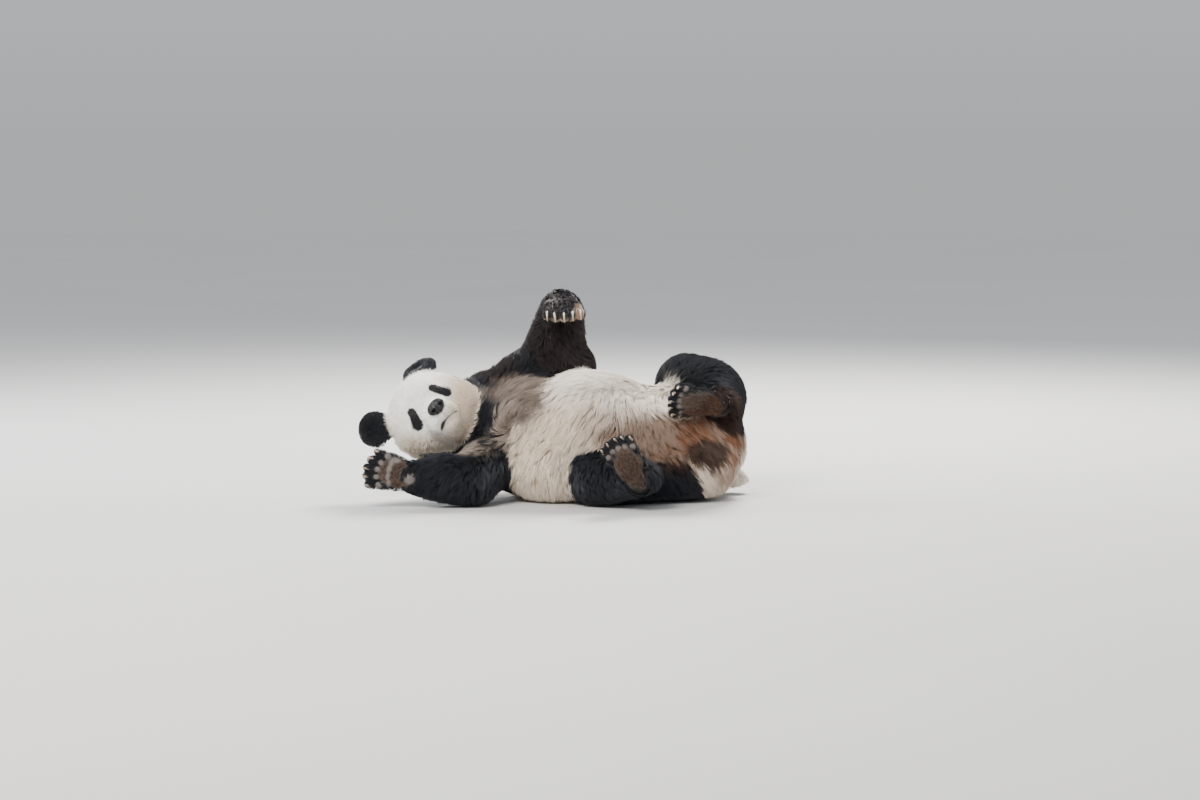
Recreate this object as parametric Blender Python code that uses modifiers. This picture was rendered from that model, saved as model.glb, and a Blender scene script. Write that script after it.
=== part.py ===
"""A life-size giant panda, lying on its back and rolled towards its right side.

The animal lies along X with its head at -X. Its belly faces up and towards -Y, its left
foreleg is raised, its right foreleg lies on the floor, and both hind legs are folded.
Every solid reaches out to the tips of the coat. Metres, +Z up, floor at z = 0.
"""

import math

import bmesh
import bpy
from mathutils import Matrix, Vector

# ---------------------------------------------------------------- driving dimensions

# Moves the animal so that the middle of its base lies at the origin.
ORIGIN_SHIFT = Vector((0.010, 0.082, 0.0))

GAP = 0.0004  # clear space between neighbouring solids
BODY_VOXEL = 0.012
HEAD_VOXEL = 0.008
PAW_VOXEL = 0.0055
LIMB_SWELL = 0.022  # how far a limb's share of the body reaches beyond its own form

# Triangles kept in each blended form before it is parted.
TRIANGLES = {
    "body": 1680,
    "limb_share": 110,
    "head": 820,
    "ear": 100,
    "paw": 320,
}

# The trunk: centre and half sizes along X, Y and Z.
TRUNK = {
    "ribcage": ((-0.10, 0.00, 0.210), (0.225, 0.210, 0.212)),
    "belly": ((0.11, -0.02, 0.225), (0.27, 0.235, 0.230)),
    "loin": ((0.33, -0.01, 0.200), (0.22, 0.215, 0.200)),
    "rump": ((0.50, 0.02, 0.185), (0.165, 0.185, 0.172)),
    "near_flank": ((0.01, -0.115, 0.115), (0.235, 0.160, 0.122)),
    "far_flank": ((0.05, 0.105, 0.115), (0.28, 0.150, 0.122)),
    "near_haunch": ((0.43, -0.080, 0.120), (0.205, 0.170, 0.127)),
    "far_haunch": ((0.42, 0.080, 0.118), (0.21, 0.152, 0.124)),
    "shoulder_hump": ((-0.265, 0.100, 0.315), (0.120, 0.100, 0.115)),
}

# Joints from the body outwards, each with the coat's radius round it.
NECK = (((-0.24, 0.03, 0.235), 0.165), ((-0.35, 0.025, 0.280), 0.132))

# The bulges are muscle and loose coat that fill a limb out.
LIMBS = {
    "foreleg_left": dict(
        joints=(
            ((-0.200, 0.110, 0.308), 0.130),
            ((-0.035, 0.160, 0.455), 0.118),
            ((0.003, 0.150, 0.634), 0.093),
        ),
        bulges=(
            ((0.010, 0.165, 0.446), (0.122, 0.105, 0.095)),
            ((-0.020, 0.155, 0.545), (0.108, 0.092, 0.110)),
        ),
    ),
    "foreleg_right": dict(
        joints=(
            ((-0.235, -0.110, 0.145), 0.106),
            ((-0.300, -0.255, 0.087), 0.092),
            ((-0.500, -0.290, 0.104), 0.064),
        ),
        bulges=(((-0.395, -0.270, 0.103), (0.100, 0.090, 0.090)),),
    ),
    "hindleg_left": dict(
        joints=(
            ((0.520, 0.100, 0.337), 0.146),
            ((0.445, 0.170, 0.378), 0.119),
            ((0.578, -0.060, 0.322), 0.074),
        ),
        bulges=(),
    ),
    "hindleg_right": dict(
        joints=(
            ((0.410, -0.135, 0.105), 0.102),
            ((0.135, -0.245, 0.093), 0.100),
            ((0.300, -0.375, 0.112), 0.066),
        ),
        bulges=(),
    ),
}

TAIL_CENTRE = Vector((0.622, 0.11, 0.052))
TAIL_HALF = Vector((0.062, 0.045, 0.032))

# The head turns to its right to face -Y, with its crown up and to -X.
HEAD_CENTRE = Vector((-0.4500, -0.07, 0.3012))
VIEW_TILT = math.radians(5.2)  # the face looks slightly upwards
HEAD_ROLL = math.radians(50.0)  # of the crown, from +Z towards -X
HEAD_TURN = math.radians(11.5)  # towards the animal's own left
HEAD_LIFT = math.radians(8.0)  # nose up

# The head's forms in its own frame (left, forward, up): centre and half sizes. The
# right cheek is pressed flat where the head rests on it.
SKULL = {
    "cranium": ((0.000, -0.012, 0.018), (0.145, 0.135, 0.132)),
    "brow": ((0.000, 0.045, 0.040), (0.112, 0.080, 0.076)),
    "left_temple": ((0.071, -0.010, 0.010), (0.085, 0.098, 0.095)),
    "left_cheek": ((0.087, 0.010, -0.045), (0.087, 0.090, 0.084)),
    "right_cheek": ((-0.080, 0.010, -0.022), (0.072, 0.088, 0.076)),
    "jaw": ((0.024, 0.010, -0.088), (0.092, 0.085, 0.065)),
    "left_lip": ((0.030, 0.130, -0.068), (0.036, 0.040, 0.032)),
    "right_lip": ((-0.030, 0.130, -0.068), (0.036, 0.040, 0.032)),
    "chin": ((0.000, 0.105, -0.100), (0.044, 0.048, 0.028)),
}
MUZZLE = (((0, 0.085, -0.036), 0.066), ((0, 0.148, -0.046), 0.044))
EYE_SPOT = Vector((0.0615, 0.1055, 0.0205))
EYE_RADIUS = 0.0115
NOSE_SPOT = Vector((0.0, 0.182, -0.036))
NOSE_HALF = Vector((0.036, 0.016, 0.022))

# Each ear: its middle, the way to its rim and the way it opens. The left lies back.
EAR_RADIUS = 0.062
EARS = {
    "ear_right": ((-0.160, -0.022, 0.118), (-0.80, -0.05, 0.60), (-0.15, 0.98, 0.10)),
    "ear_left": ((0.101, -0.050, 0.133), (0.29, -0.78, 0.52), (0.10, 0.65, 0.75)),
}

# Each paw: its wrist or ankle, a point towards the toe tips and the way its back
# faces. first_toe is the side of its own X that the first toe is on.
PAWS = {
    "forepaw_left": dict(
        limb="foreleg_left",
        wrist=(0.001, 0.105, 0.678),
        towards=(0.012, -0.015, 0.645),
        back=(0.0, -0.5, 0.86),
        first_toe=1,
    ),
    "forepaw_right": dict(
        limb="foreleg_right",
        wrist=(-0.507, -0.297, 0.108),
        towards=(-0.673, -0.315, 0.146),
        back=(0.05, 1.0, -0.10),
        first_toe=-1,
    ),
    "hindfoot_left": dict(
        limb="hindleg_left",
        wrist=(0.540, -0.150, 0.340),
        towards=(0.356, -0.215, 0.370),
        back=(-0.05, 0.92, 0.32),
        first_toe=1,
    ),
    "hindfoot_right": dict(
        limb="hindleg_right",
        wrist=(0.272, -0.395, 0.100),
        towards=(0.170, -0.425, 0.270),
        back=(-0.05, 0.98, 0.10),
        first_toe=-1,
    ),
}
PAW_SIZES = {
    "forepaw": dict(
        length=0.100,  # wrist to the roots of the toes
        half_width=0.060,
        half_depth=0.034,
        toe_radius=0.0195,
        toe_length=0.038,
        toe_spread=0.049,
        toe_arc=0.020,
        claw=0.036,
    ),
    "hindfoot": dict(
        length=0.130,
        half_width=0.053,
        half_depth=0.036,
        toe_radius=0.0180,
        toe_length=0.030,
        toe_spread=0.043,
        toe_arc=0.016,
        claw=0.028,
    ),
}
TOES = 5
CLAW_RADIUS = 0.0052

# Surface colours and roughness.
PALETTE = {
    "white_coat": ((0.80, 0.74, 0.64), 0.85),
    "black_coat": ((0.022, 0.021, 0.024), 0.80),
    "face_coat": ((0.86, 0.83, 0.78), 0.85),
    "nose_skin": ((0.030, 0.028, 0.030), 0.45),
    "eye_gloss": ((0.020, 0.012, 0.008), 0.08),
    "claw_horn": ((0.55, 0.44, 0.30), 0.45),
}

# ---------------------------------------------------------------- scene and collections

for old in list(bpy.data.objects):
    bpy.data.objects.remove(old)

panda = bpy.data.collections.new("giant_panda")
cutters = bpy.data.collections.new("cutters")
for group in (panda, cutters):
    bpy.context.scene.collection.children.link(group)


def material(slot):
    found = bpy.data.materials.get(slot)
    if found:
        return found
    colour, roughness = PALETTE[slot]
    made = bpy.data.materials.new(slot)
    made.use_nodes = True
    shader = made.node_tree.nodes["Principled BSDF"]
    shader.inputs["Base Color"].default_value = (*colour, 1.0)
    shader.inputs["Roughness"].default_value = roughness
    shader.inputs["Metallic"].default_value = 0.0
    made.diffuse_color = (*colour, 1.0)
    return made


# ---------------------------------------------------------------- directions and frames


def frame_of(centre, side, front, top):
    """A matrix that carries local X, Y and Z to three directions at a centre."""
    turn = Matrix((side, front, top)).transposed().to_4x4()
    return Matrix.Translation(Vector(centre)) @ turn


def pointed_frame(centre, front, top):
    """A frame with Y along front, Z as near to top as it can be, and X across."""
    front = Vector(front).normalized()
    top = Vector(top)
    top = (top - front * top.dot(front)).normalized()
    return frame_of(centre, front.cross(top), front, top)


def head_frame():
    """The head's frame: X to its own left, Y forward and Z up through the crown."""
    side = Vector((1, 0, 0))
    rise = Vector((0, math.sin(VIEW_TILT), math.cos(VIEW_TILT)))
    out = Vector((0, -math.cos(VIEW_TILT), math.sin(VIEW_TILT)))
    left = side * math.cos(HEAD_ROLL) + rise * math.sin(HEAD_ROLL)
    crown = rise * math.cos(HEAD_ROLL) - side * math.sin(HEAD_ROLL)
    turned = out * math.cos(HEAD_TURN) + left * math.sin(HEAD_TURN)
    left = left * math.cos(HEAD_TURN) - out * math.sin(HEAD_TURN)
    front = turned * math.cos(HEAD_LIFT) + crown * math.sin(HEAD_LIFT)
    crown = crown * math.cos(HEAD_LIFT) - turned * math.sin(HEAD_LIFT)
    return frame_of(HEAD_CENTRE, left, front, crown)


HEAD = head_frame()

# ---------------------------------------------------------------- form tools


def ball_mesh(u_segments=24, v_segments=14):
    bm = bmesh.new()
    bmesh.ops.create_uvsphere(bm, u_segments=u_segments, v_segments=v_segments, radius=1.0)
    mesh = bpy.data.meshes.new("ball")
    bm.to_mesh(mesh)
    bm.free()
    return mesh


BALL = ball_mesh()


def add_ball(bm, centre, half, frame=None, ball=BALL):
    """An ellipsoid with these half sizes, in a frame if one is given."""
    place = Matrix.Translation(Vector(centre)) @ Matrix.Diagonal((*half, 1.0))
    if frame is not None:
        place = frame @ place
    mesh = ball.copy()
    mesh.transform(place)
    bm.from_mesh(mesh)
    bpy.data.meshes.remove(mesh)


def add_taper(bm, start, end, frame=None):
    """A tapered limb between two (centre, radius) pairs, with round ends."""
    (a, radius_a), (b, radius_b) = start, end
    a, b = Vector(a), Vector(b)
    steps = max(2, math.ceil((b - a).length / (0.35 * min(radius_a, radius_b))))
    for i in range(steps + 1):
        share = i / steps
        radius = radius_a + (radius_b - radius_a) * share
        add_ball(bm, a.lerp(b, share), (radius, radius, radius), frame)


def add_limb(bm, joints, bulges=(), swell=0.0):
    """A limb through its joints, swollen all round if asked."""
    swollen = [(place, radius + swell) for place, radius in joints]
    for start, end in zip(swollen, swollen[1:]):
        add_taper(bm, start, end)
    for centre, half in bulges:
        add_ball(bm, centre, [size + swell for size in half])


def object_from(bm, name):
    bmesh.ops.recalc_face_normals(bm, faces=bm.faces)
    mesh = bpy.data.meshes.new(name)
    bm.to_mesh(mesh)
    bm.free()
    made = bpy.data.objects.new(name, mesh)
    cutters.objects.link(made)
    return made


def ball_object(name, centre, half, frame=None, segments=(16, 10)):
    bm = bmesh.new()
    add_ball(bm, centre, half, frame, ball_mesh(*segments))
    return object_from(bm, name)


def copy_of(obj, name):
    made = bpy.data.objects.new(name, obj.data.copy())
    cutters.objects.link(made)
    return made


def settle(obj):
    """Replaces an object's modifiers by the mesh that they make."""
    bpy.context.view_layer.update()
    graph = bpy.context.evaluated_depsgraph_get()
    mesh = bpy.data.meshes.new_from_object(obj.evaluated_get(graph), depsgraph=graph)
    obj.modifiers.clear()
    obj.data = mesh


def volume_of(verts):
    """The space inside one closed group of vertices."""
    total = 0.0
    for face in {face for vert in verts for face in vert.link_faces}:
        first = face.verts[0].co
        for a, b in zip(face.verts[1:], face.verts[2:]):
            total += first.dot(a.co.cross(b.co)) / 6
    return abs(total)


def keep_largest(obj):
    """Drops every loose scrap that a cut left behind."""
    bm = bmesh.new()
    bm.from_mesh(obj.data)
    seen, groups = set(), []
    for first in bm.verts:
        if first in seen:
            continue
        seen.add(first)
        stack, members = [first], []
        while stack:
            vert = stack.pop()
            members.append(vert)
            for edge in vert.link_edges:
                other = edge.other_vert(vert)
                if other not in seen:
                    seen.add(other)
                    stack.append(other)
        groups.append(members)
    groups.sort(key=volume_of)
    for scrap in groups[:-1]:
        bmesh.ops.delete(bm, geom=scrap, context="VERTS")
    bm.to_mesh(obj.data)
    bm.free()


def blended(bm, name, voxel, smoothing, triangles):
    """One closed skin over overlapping balls: remeshed, smoothed and thinned."""
    obj = object_from(bm, name)
    remesh = obj.modifiers.new("blend", "REMESH")
    remesh.mode = "VOXEL"
    remesh.voxel_size = voxel
    smooth = obj.modifiers.new("smooth", "SMOOTH")
    smooth.factor = 0.5
    smooth.iterations = smoothing
    settle(obj)
    keep_largest(obj)
    faces = sum(len(face.vertices) - 2 for face in obj.data.polygons)
    thin = obj.modifiers.new("thin", "DECIMATE")
    thin.ratio = min(1.0, triangles / faces)
    settle(obj)
    return obj


def boolean(obj, other, operation):
    cut = obj.modifiers.new("cut", "BOOLEAN")
    cut.operation = operation
    cut.solver = "EXACT"
    cut.object = other
    settle(obj)
    keep_largest(obj)


def clear_of(obj, *others):
    """Cuts away whatever of a solid lies in, or within the gap of, its neighbours."""
    for other in others:
        wider = copy_of(other, "wider")
        swell = wider.modifiers.new("swell", "DISPLACE")
        swell.strength = GAP
        swell.mid_level = 0.0
        settle(wider)
        boolean(obj, wider, "DIFFERENCE")


def side_block(point, normal, size=1.4):
    """A big block on the side of a plane that its normal points to."""
    turn = Vector(normal).normalized().to_track_quat("Z", "Y").to_matrix().to_4x4()
    bm = bmesh.new()
    bmesh.ops.create_cube(bm, size=size)
    bm.transform(
        Matrix.Translation(Vector(point))
        @ turn
        @ Matrix.Translation(Vector((0, 0, size / 2 + GAP / 2)))
    )
    return object_from(bm, "side_block")


def parted(obj, point, normal, near_name, far_name):
    """Cuts a form in two at a plane. The far piece is where the normal points."""
    far = copy_of(obj, far_name)
    obj.name = near_name
    boolean(far, side_block(point, normal), "INTERSECT")
    boolean(obj, side_block(point, -Vector(normal)), "INTERSECT")
    return obj, far


def cut_floor(obj):
    """Leaves a small flat at floor level where a form presses on it."""
    if min(vert.co.z for vert in obj.data.vertices) < 0.0:
        boolean(obj, side_block((0, 0, -GAP / 2), (0, 0, 1), size=3.0), "INTERSECT")


def finish(obj, name, slot):
    """Names a solid as a node, gives it its material and puts it in the animal."""
    cutters.objects.unlink(obj)
    panda.objects.link(obj)
    obj.name = obj.data.name = name
    obj.data.materials.clear()
    obj.data.materials.append(material(slot))
    obj.data.transform(Matrix.Translation(ORIGIN_SHIFT))
    obj.data.shade_smooth()
    obj.data.set_sharp_from_angle(angle=math.radians(50))


# ---------------------------------------------------------------- body forms


def make_body():
    """Trunk, neck and limbs down to the wrists and ankles, as one blended form."""
    bm = bmesh.new()
    for centre, half in TRUNK.values():
        add_ball(bm, centre, half)
    add_taper(bm, *NECK)
    for limb in LIMBS.values():
        add_limb(bm, **limb)
    return blended(bm, "trunk", BODY_VOXEL, 10, TRIANGLES["body"])


def take_limb(body, name, joints, bulges):
    """Parts a limb from the body, and then at its elbow or knee."""
    bm = bmesh.new()
    add_limb(bm, joints, bulges, LIMB_SWELL)
    share = blended(bm, "share", 0.016, 3, TRIANGLES["limb_share"])
    limb = copy_of(body, name)
    boolean(limb, share, "INTERSECT")
    clear_of(body, share)
    root, middle, tip = (Vector(place) for place, _ in joints)
    along = (middle - root).normalized() + (tip - middle).normalized()
    return parted(limb, middle, along, f"{name}_upper", f"{name}_lower")


def make_head():
    """Skull, cheeks, muzzle and jaw, blended."""
    bm = bmesh.new()
    for centre, half in SKULL.values():
        add_ball(bm, centre, half, HEAD)
    add_taper(bm, *MUZZLE, HEAD)
    return blended(bm, "head", HEAD_VOXEL, 6, TRIANGLES["head"])


def make_ear(name, middle, rim, face):
    """A thick round ear, hollowed on its front."""
    turn = HEAD.to_3x3()
    frame = pointed_frame(HEAD @ Vector(middle), turn @ Vector(rim), turn @ Vector(face))
    bm = bmesh.new()
    add_ball(bm, (0, 0, 0), (EAR_RADIUS, EAR_RADIUS, 0.028), frame)
    add_taper(bm, ((0, -0.030, -0.004), 0.032), ((0, -0.060, -0.010), 0.036), frame)
    ear = blended(bm, name, HEAD_VOXEL, 3, TRIANGLES["ear"])
    hollow = ball_object(
        "hollow", (0, 0.004, 0.034), (0.036, 0.036, 0.026), frame, segments=(12, 8)
    )
    boolean(ear, hollow, "DIFFERENCE")
    return ear


# ---------------------------------------------------------------- paws and claws


def toe_places(size, first_toe):
    """Each toe's root and tip in the paw's frame, and how far it splays."""
    middle = (TOES - 1) / 2
    for i in range(TOES):
        across = (i - middle) / middle
        set_back = size["toe_arc"] * (across**2 + 0.25 * across * first_toe)
        root = Vector((across * size["toe_spread"], size["length"] - set_back, 0.004))
        splay = 0.16 * across
        tip = root + Vector((splay * size["toe_length"], size["toe_length"], -0.008))
        yield root, tip, splay


def make_paw(name, limb, wrist, towards, back, first_toe):
    """A paw's flesh with its toes and pads, and its claws as separate solids."""
    size = PAW_SIZES[name.split("_")[0]]
    frame = pointed_frame(wrist, Vector(towards) - Vector(wrist), back)
    half_width, half_depth = size["half_width"], size["half_depth"]
    length, toe = size["length"], size["toe_radius"]
    bm = bmesh.new()
    add_ball(bm, (0, 0, 0), (half_width * 0.90, 0.055, half_depth * 1.25), frame)
    add_ball(bm, (0, length * 0.55, 0), (half_width, length * 0.62, half_depth), frame)
    band = (0, length - 0.022, -half_depth * 0.8)
    add_ball(bm, band, (half_width * 0.88, 0.017, 0.011), frame)
    if name.startswith("forepaw"):
        # the false thumb's pad and the wrist's pad
        add_ball(bm, (first_toe * 0.046, 0.038, -0.026), (0.018, 0.026, 0.014), frame)
        add_ball(bm, (-first_toe * 0.030, 0.010, -0.034), (0.018, 0.018, 0.013), frame)
    claws = []
    for i, (root, tip, splay) in enumerate(toe_places(size, first_toe)):
        add_taper(bm, (root - Vector((0, 0.02, 0)), toe), (tip, toe * 0.92), frame)
        pad = tip - Vector((0, 0.004, toe * 0.72))
        add_ball(bm, pad, (toe * 0.8, toe * 0.9, toe * 0.6), frame)
        claws.append(make_claw(f"{name}_claw_{i + 1}", frame, tip, splay, toe, size["claw"]))
    return blended(bm, name, PAW_VOXEL, 3, TRIANGLES["paw"]), claws


def make_claw(name, frame, toe_tip, splay, toe, length, points=4, bend=math.radians(70)):
    """A curved claw: a curve that thins to its tip, bending towards the sole."""
    curve = bpy.data.curves.new(name, "CURVE")
    curve.dimensions = "3D"
    curve.bevel_depth = CLAW_RADIUS
    curve.bevel_resolution = 1
    curve.use_fill_caps = True
    line = curve.splines.new("POLY")
    line.points.add(points - 1)
    start = toe_tip + Vector((0, toe * 0.62, toe * 0.40))
    for i, point in enumerate(line.points):
        share = i / (points - 1)
        reach = length * math.sin(bend * share) / bend
        drop = length * (1 - math.cos(bend * share)) / bend
        point.co = (*(frame @ (start + Vector((splay * reach, reach, -drop)))), 1.0)
        point.radius = 1.0 - 0.80 * share**1.4
    obj = bpy.data.objects.new(name, curve)
    cutters.objects.link(obj)
    bpy.context.view_layer.update()
    graph = bpy.context.evaluated_depsgraph_get()
    mesh = bpy.data.meshes.new_from_object(obj.evaluated_get(graph), depsgraph=graph)
    bpy.data.objects.remove(obj)
    bm = bmesh.new()
    bm.from_mesh(mesh)
    bmesh.ops.remove_doubles(bm, verts=bm.verts, dist=0.00005)
    return object_from(bm, name)


# ---------------------------------------------------------------- putting it together

body = make_body()
head = make_head()
solids = {}

for name, limb in LIMBS.items():
    for piece in take_limb(body, name, **limb):
        clear_of(piece, head)
        solids[piece.name] = (piece, "black_coat")

neck_root, neck_end = (Vector(place) for place, _ in NECK)
neck_cut = neck_root.lerp(neck_end, 0.2)
trunk, neck = parted(body, neck_cut, neck_end - neck_root, "trunk", "neck")
clear_of(neck, head)
solids["trunk"] = (trunk, "white_coat")
solids["neck"] = (neck, "black_coat")

# Eyes in shallow flared sockets, and the nose pad.
for side, label in ((1, "left"), (-1, "right")):
    spot = Vector((side * EYE_SPOT.x, EYE_SPOT.y, EYE_SPOT.z))
    eye = ball_object(f"eye_{label}", spot, (EYE_RADIUS,) * 3, HEAD, segments=(14, 8))
    opening = Vector((EYE_RADIUS * 1.1, EYE_RADIUS * 1.2, EYE_RADIUS * 0.9))
    socket = ball_object("socket", spot + Vector((0, EYE_RADIUS, 0)), opening, HEAD, (12, 8))
    boolean(head, socket, "DIFFERENCE")
    clear_of(head, eye)
    solids[f"eye_{label}"] = (eye, "eye_gloss")
nose = ball_object("nose", NOSE_SPOT, NOSE_HALF, HEAD, segments=(14, 8))
clear_of(head, nose)
solids["head"] = (head, "face_coat")
solids["nose"] = (nose, "nose_skin")

for name, (middle, rim, face) in EARS.items():
    ear = make_ear(name, middle, rim, face)
    clear_of(ear, head, neck)
    solids[name] = (ear, "black_coat")

for name, settings in PAWS.items():
    paw, claws = make_paw(name, **settings)
    limb_pieces = [solids[f"{settings['limb']}_{part}"][0] for part in ("lower", "upper")]
    clear_of(paw, *limb_pieces, trunk, head)
    solids[name] = (paw, "black_coat")
    for claw in claws:
        label = claw.name
        clear_of(claw, paw, trunk)
        solids[label] = (claw, "claw_horn")

tail = ball_object("tail", TAIL_CENTRE, TAIL_HALF, segments=(12, 8))
clear_of(tail, trunk)
solids["tail"] = (tail, "white_coat")

for name, (obj, slot) in solids.items():
    cut_floor(obj)
    finish(obj, name, slot)

for cutter in list(cutters.objects):
    bpy.data.objects.remove(cutter)
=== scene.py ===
import math
import bpy
import bmesh
import numpy as np
from mathutils import Matrix, Vector
from mathutils.bvhtree import BVHTree
from mathutils.kdtree import KDTree


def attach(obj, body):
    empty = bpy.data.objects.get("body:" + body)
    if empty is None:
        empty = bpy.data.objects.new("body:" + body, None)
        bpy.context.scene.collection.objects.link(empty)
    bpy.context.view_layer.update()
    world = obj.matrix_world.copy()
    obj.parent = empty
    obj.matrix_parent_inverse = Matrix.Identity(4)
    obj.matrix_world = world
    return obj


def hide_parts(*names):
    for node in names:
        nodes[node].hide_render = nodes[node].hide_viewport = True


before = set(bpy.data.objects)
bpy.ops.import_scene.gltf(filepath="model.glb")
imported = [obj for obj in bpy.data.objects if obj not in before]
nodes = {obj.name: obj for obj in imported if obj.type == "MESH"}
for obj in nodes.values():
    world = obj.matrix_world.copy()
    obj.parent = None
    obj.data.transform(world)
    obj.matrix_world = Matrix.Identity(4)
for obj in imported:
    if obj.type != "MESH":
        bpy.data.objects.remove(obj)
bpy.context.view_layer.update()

print("frame loaded")

# camera, floor and lights
viewing = {
    "lens": 85,
    "sensor": 36,
    "height": 1.239,
    "back": -9.786,
    "right": 0.150,
    "tilt": 5.2,  # degrees below level
    "farthest": 200,
    "floorSize": 60,
    "floorColours": ((0.57, 0.565, 0.555), (0.62, 0.615, 0.605)),
    "floorCloud": 0.6,
    "skyStrength": 0.85,
    "sky": [(0.0, (0.58, 0.59, 0.60)), (0.22, (0.90, 0.94, 1.0))],  # from level upwards
}

lamps = [  # place, what it looks at, size across, power, colour
    ((-2.4, -4.4, 4.8), (0, 0, 0.3), 2.8, 540, (1.0, 0.955, 0.895)),
    ((1.6, 3.8, 4.4), (0.1, 0, 0.3), 2.0, 820, (1.0, 0.965, 0.92)),
    ((-4.2, 2.2, 2.8), (-0.2, 0, 0.35), 1.8, 230, (0.93, 0.965, 1.0)),
]


def makeStage():
    scene = bpy.context.scene
    camera = bpy.data.objects.new("camera", bpy.data.cameras.new("camera"))
    scene.collection.objects.link(camera)
    camera.data.lens = viewing["lens"]
    camera.data.sensor_width = viewing["sensor"]
    camera.location = (viewing["right"], viewing["back"], viewing["height"])
    camera.rotation_euler = (math.radians(90 - viewing["tilt"]), 0, 0)
    camera.data.clip_end = viewing["farthest"]
    scene.camera = camera
    bpy.ops.mesh.primitive_plane_add(size=viewing["floorSize"])
    ground = bpy.context.object
    ground.name = "floor"
    for i, (place, aim, size, power, colour) in enumerate(lamps):
        light = bpy.data.lights.new(f"softbox{i}", "AREA")
        light.size = size
        light.energy = power
        light.color = colour
        lamp = bpy.data.objects.new(f"softbox{i}", light)
        lamp.location = place
        lamp.rotation_mode = "QUATERNION"
        lamp.rotation_quaternion = (Vector(aim) - Vector(place)).to_track_quat("-Z", "Y")
        scene.collection.objects.link(lamp)
    world = bpy.data.worlds.new("studio")
    world.use_nodes = True
    skyShader(world.node_tree)
    scene.world = world
    return ground


class Wire:
    # a node's output, with the maths that the shaders below use
    def __init__(self, tree, socket):
        self.tree = tree
        self.socket = socket

    def maths(self, operation, *values):
        return node(self.tree, "ShaderNodeMath", {"operation": operation}, values)

    def __add__(self, other):
        return self.maths("ADD", self, other)

    def __radd__(self, other):
        return self.maths("ADD", other, self)

    def __sub__(self, other):
        return self.maths("SUBTRACT", self, other)

    def __rsub__(self, other):
        return self.maths("SUBTRACT", other, self)

    def __mul__(self, other):
        return self.maths("MULTIPLY", self, other)

    def __rmul__(self, other):
        return self.maths("MULTIPLY", other, self)

    def __pow__(self, other):
        return self.maths("POWER", self, other)

    def held(self):
        # kept between 0 and 1
        return node(self.tree, "ShaderNodeClamp", {}, [self, 0.0, 1.0])


def plug(tree, socket, value):
    if isinstance(value, Wire):
        tree.links.new(value.socket, socket)
    elif hasattr(value, "__len__") and len(value) == 3 and socket.type == "RGBA":
        socket.default_value = (*value, 1)
    else:
        socket.default_value = value


def node(tree, kind, settings, values, output=0):
    # any node: its type, its settings, and the values or links of its sockets
    made = tree.nodes.new(kind)
    for name, value in settings.items():
        if name == "stops":
            ramp = made.color_ramp.elements
            while len(ramp) < len(value):
                ramp.new(0.5)
            for stop, (place, colour) in zip(ramp, value):
                stop.position = place
                stop.color = (*colour, 1)
        else:
            setattr(made, name, value)
    named = values.items() if isinstance(values, dict) else enumerate(values)
    for name, value in named:
        plug(tree, made.inputs[name], value)
    return Wire(tree, made.outputs[output])


def blend(tree, share, first, second):
    # two colours mixed by a share
    sockets = {0: share, 6: first, 7: second}
    return node(tree, "ShaderNodeMix", {"data_type": "RGBA"}, sockets, 2)


def noise(tree, place, scale, detail=2.0, stretch=None):
    if stretch:
        place = node(tree, "ShaderNodeVectorMath", {"operation": "MULTIPLY"}, [place, stretch])
    values = {"Vector": place, "Scale": scale, "Detail": detail}
    return node(tree, "ShaderNodeTexNoise", {}, values)


def placeOn(tree):
    return node(tree, "ShaderNodeTexCoord", {}, [], "Object")


def marksOn(tree, name):
    # three numbers kept on the mesh, as three wires
    colour = node(tree, "ShaderNodeAttribute", {"attribute_name": name}, [], "Color")
    return [node(tree, "ShaderNodeSeparateColor", {}, [colour], i) for i in range(3)]


def bump(tree, height, distance, strength=1.0):
    values = {"Height": height, "Distance": distance, "Strength": strength}
    return node(tree, "ShaderNodeBump", {}, values)


def makeMaterial(name, build, **constants):
    made = bpy.data.materials.new(name)
    made.use_nodes = True
    shader = made.node_tree.nodes["Principled BSDF"]
    for socket, value in constants.items():
        plug(made.node_tree, shader.inputs[socket.replace("_", " ")], value)
    for socket, value in build(made.node_tree).items():
        plug(made.node_tree, shader.inputs[socket], value)
    return made


coatColours = {
    "buff": (0.68, 0.49, 0.30),
    "cream": (0.97, 0.945, 0.895),
    "greyRoot": (0.055, 0.043, 0.036),
    "greyTip": (0.30, 0.240, 0.195),
    "rust": (0.080, 0.024, 0.009),
    "rustTip": (0.215, 0.090, 0.042),
    "blackRoot": (0.007, 0.007, 0.008),
    # the black tip's slight blue is a painted sky sheen
    "blackTip": (0.020, 0.022, 0.028),
    "brownTip": (0.044, 0.021, 0.012),
    "lip": (0.020, 0.015, 0.015),
    "pad": (0.10, 0.085, 0.08),
}

coatLook = {
    "rootShade": 0.42,  # painted shade: how much paler a lock's tip is than its darkened root
    "paleMark": 0.80,
    "greyBend": 1.8,  # above 1 the root's colour reaches further
    "rustBend": 1.5,
    "grey": (0.6, 0.6),  # of every lock, and more by chance
    "rust": (0.55, 0.7),
    "brown": 0.9,
    "shade": (0.86, 0.26),
    "rough": 0.72,
    "blackSheen": 0.14,  # how much smoother black hair is
}

skinLook = {
    "mottle": 90,
    "mottled": 0.2,
    "pale": 0.9,
    "lip": 1.4,
    "pores": 900,
    "poreDepth": 0.0004,
    "poreStrength": 0.6,
    "rough": 0.75,
    "wetLip": 0.35,  # how much smoother the lips are
}


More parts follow.
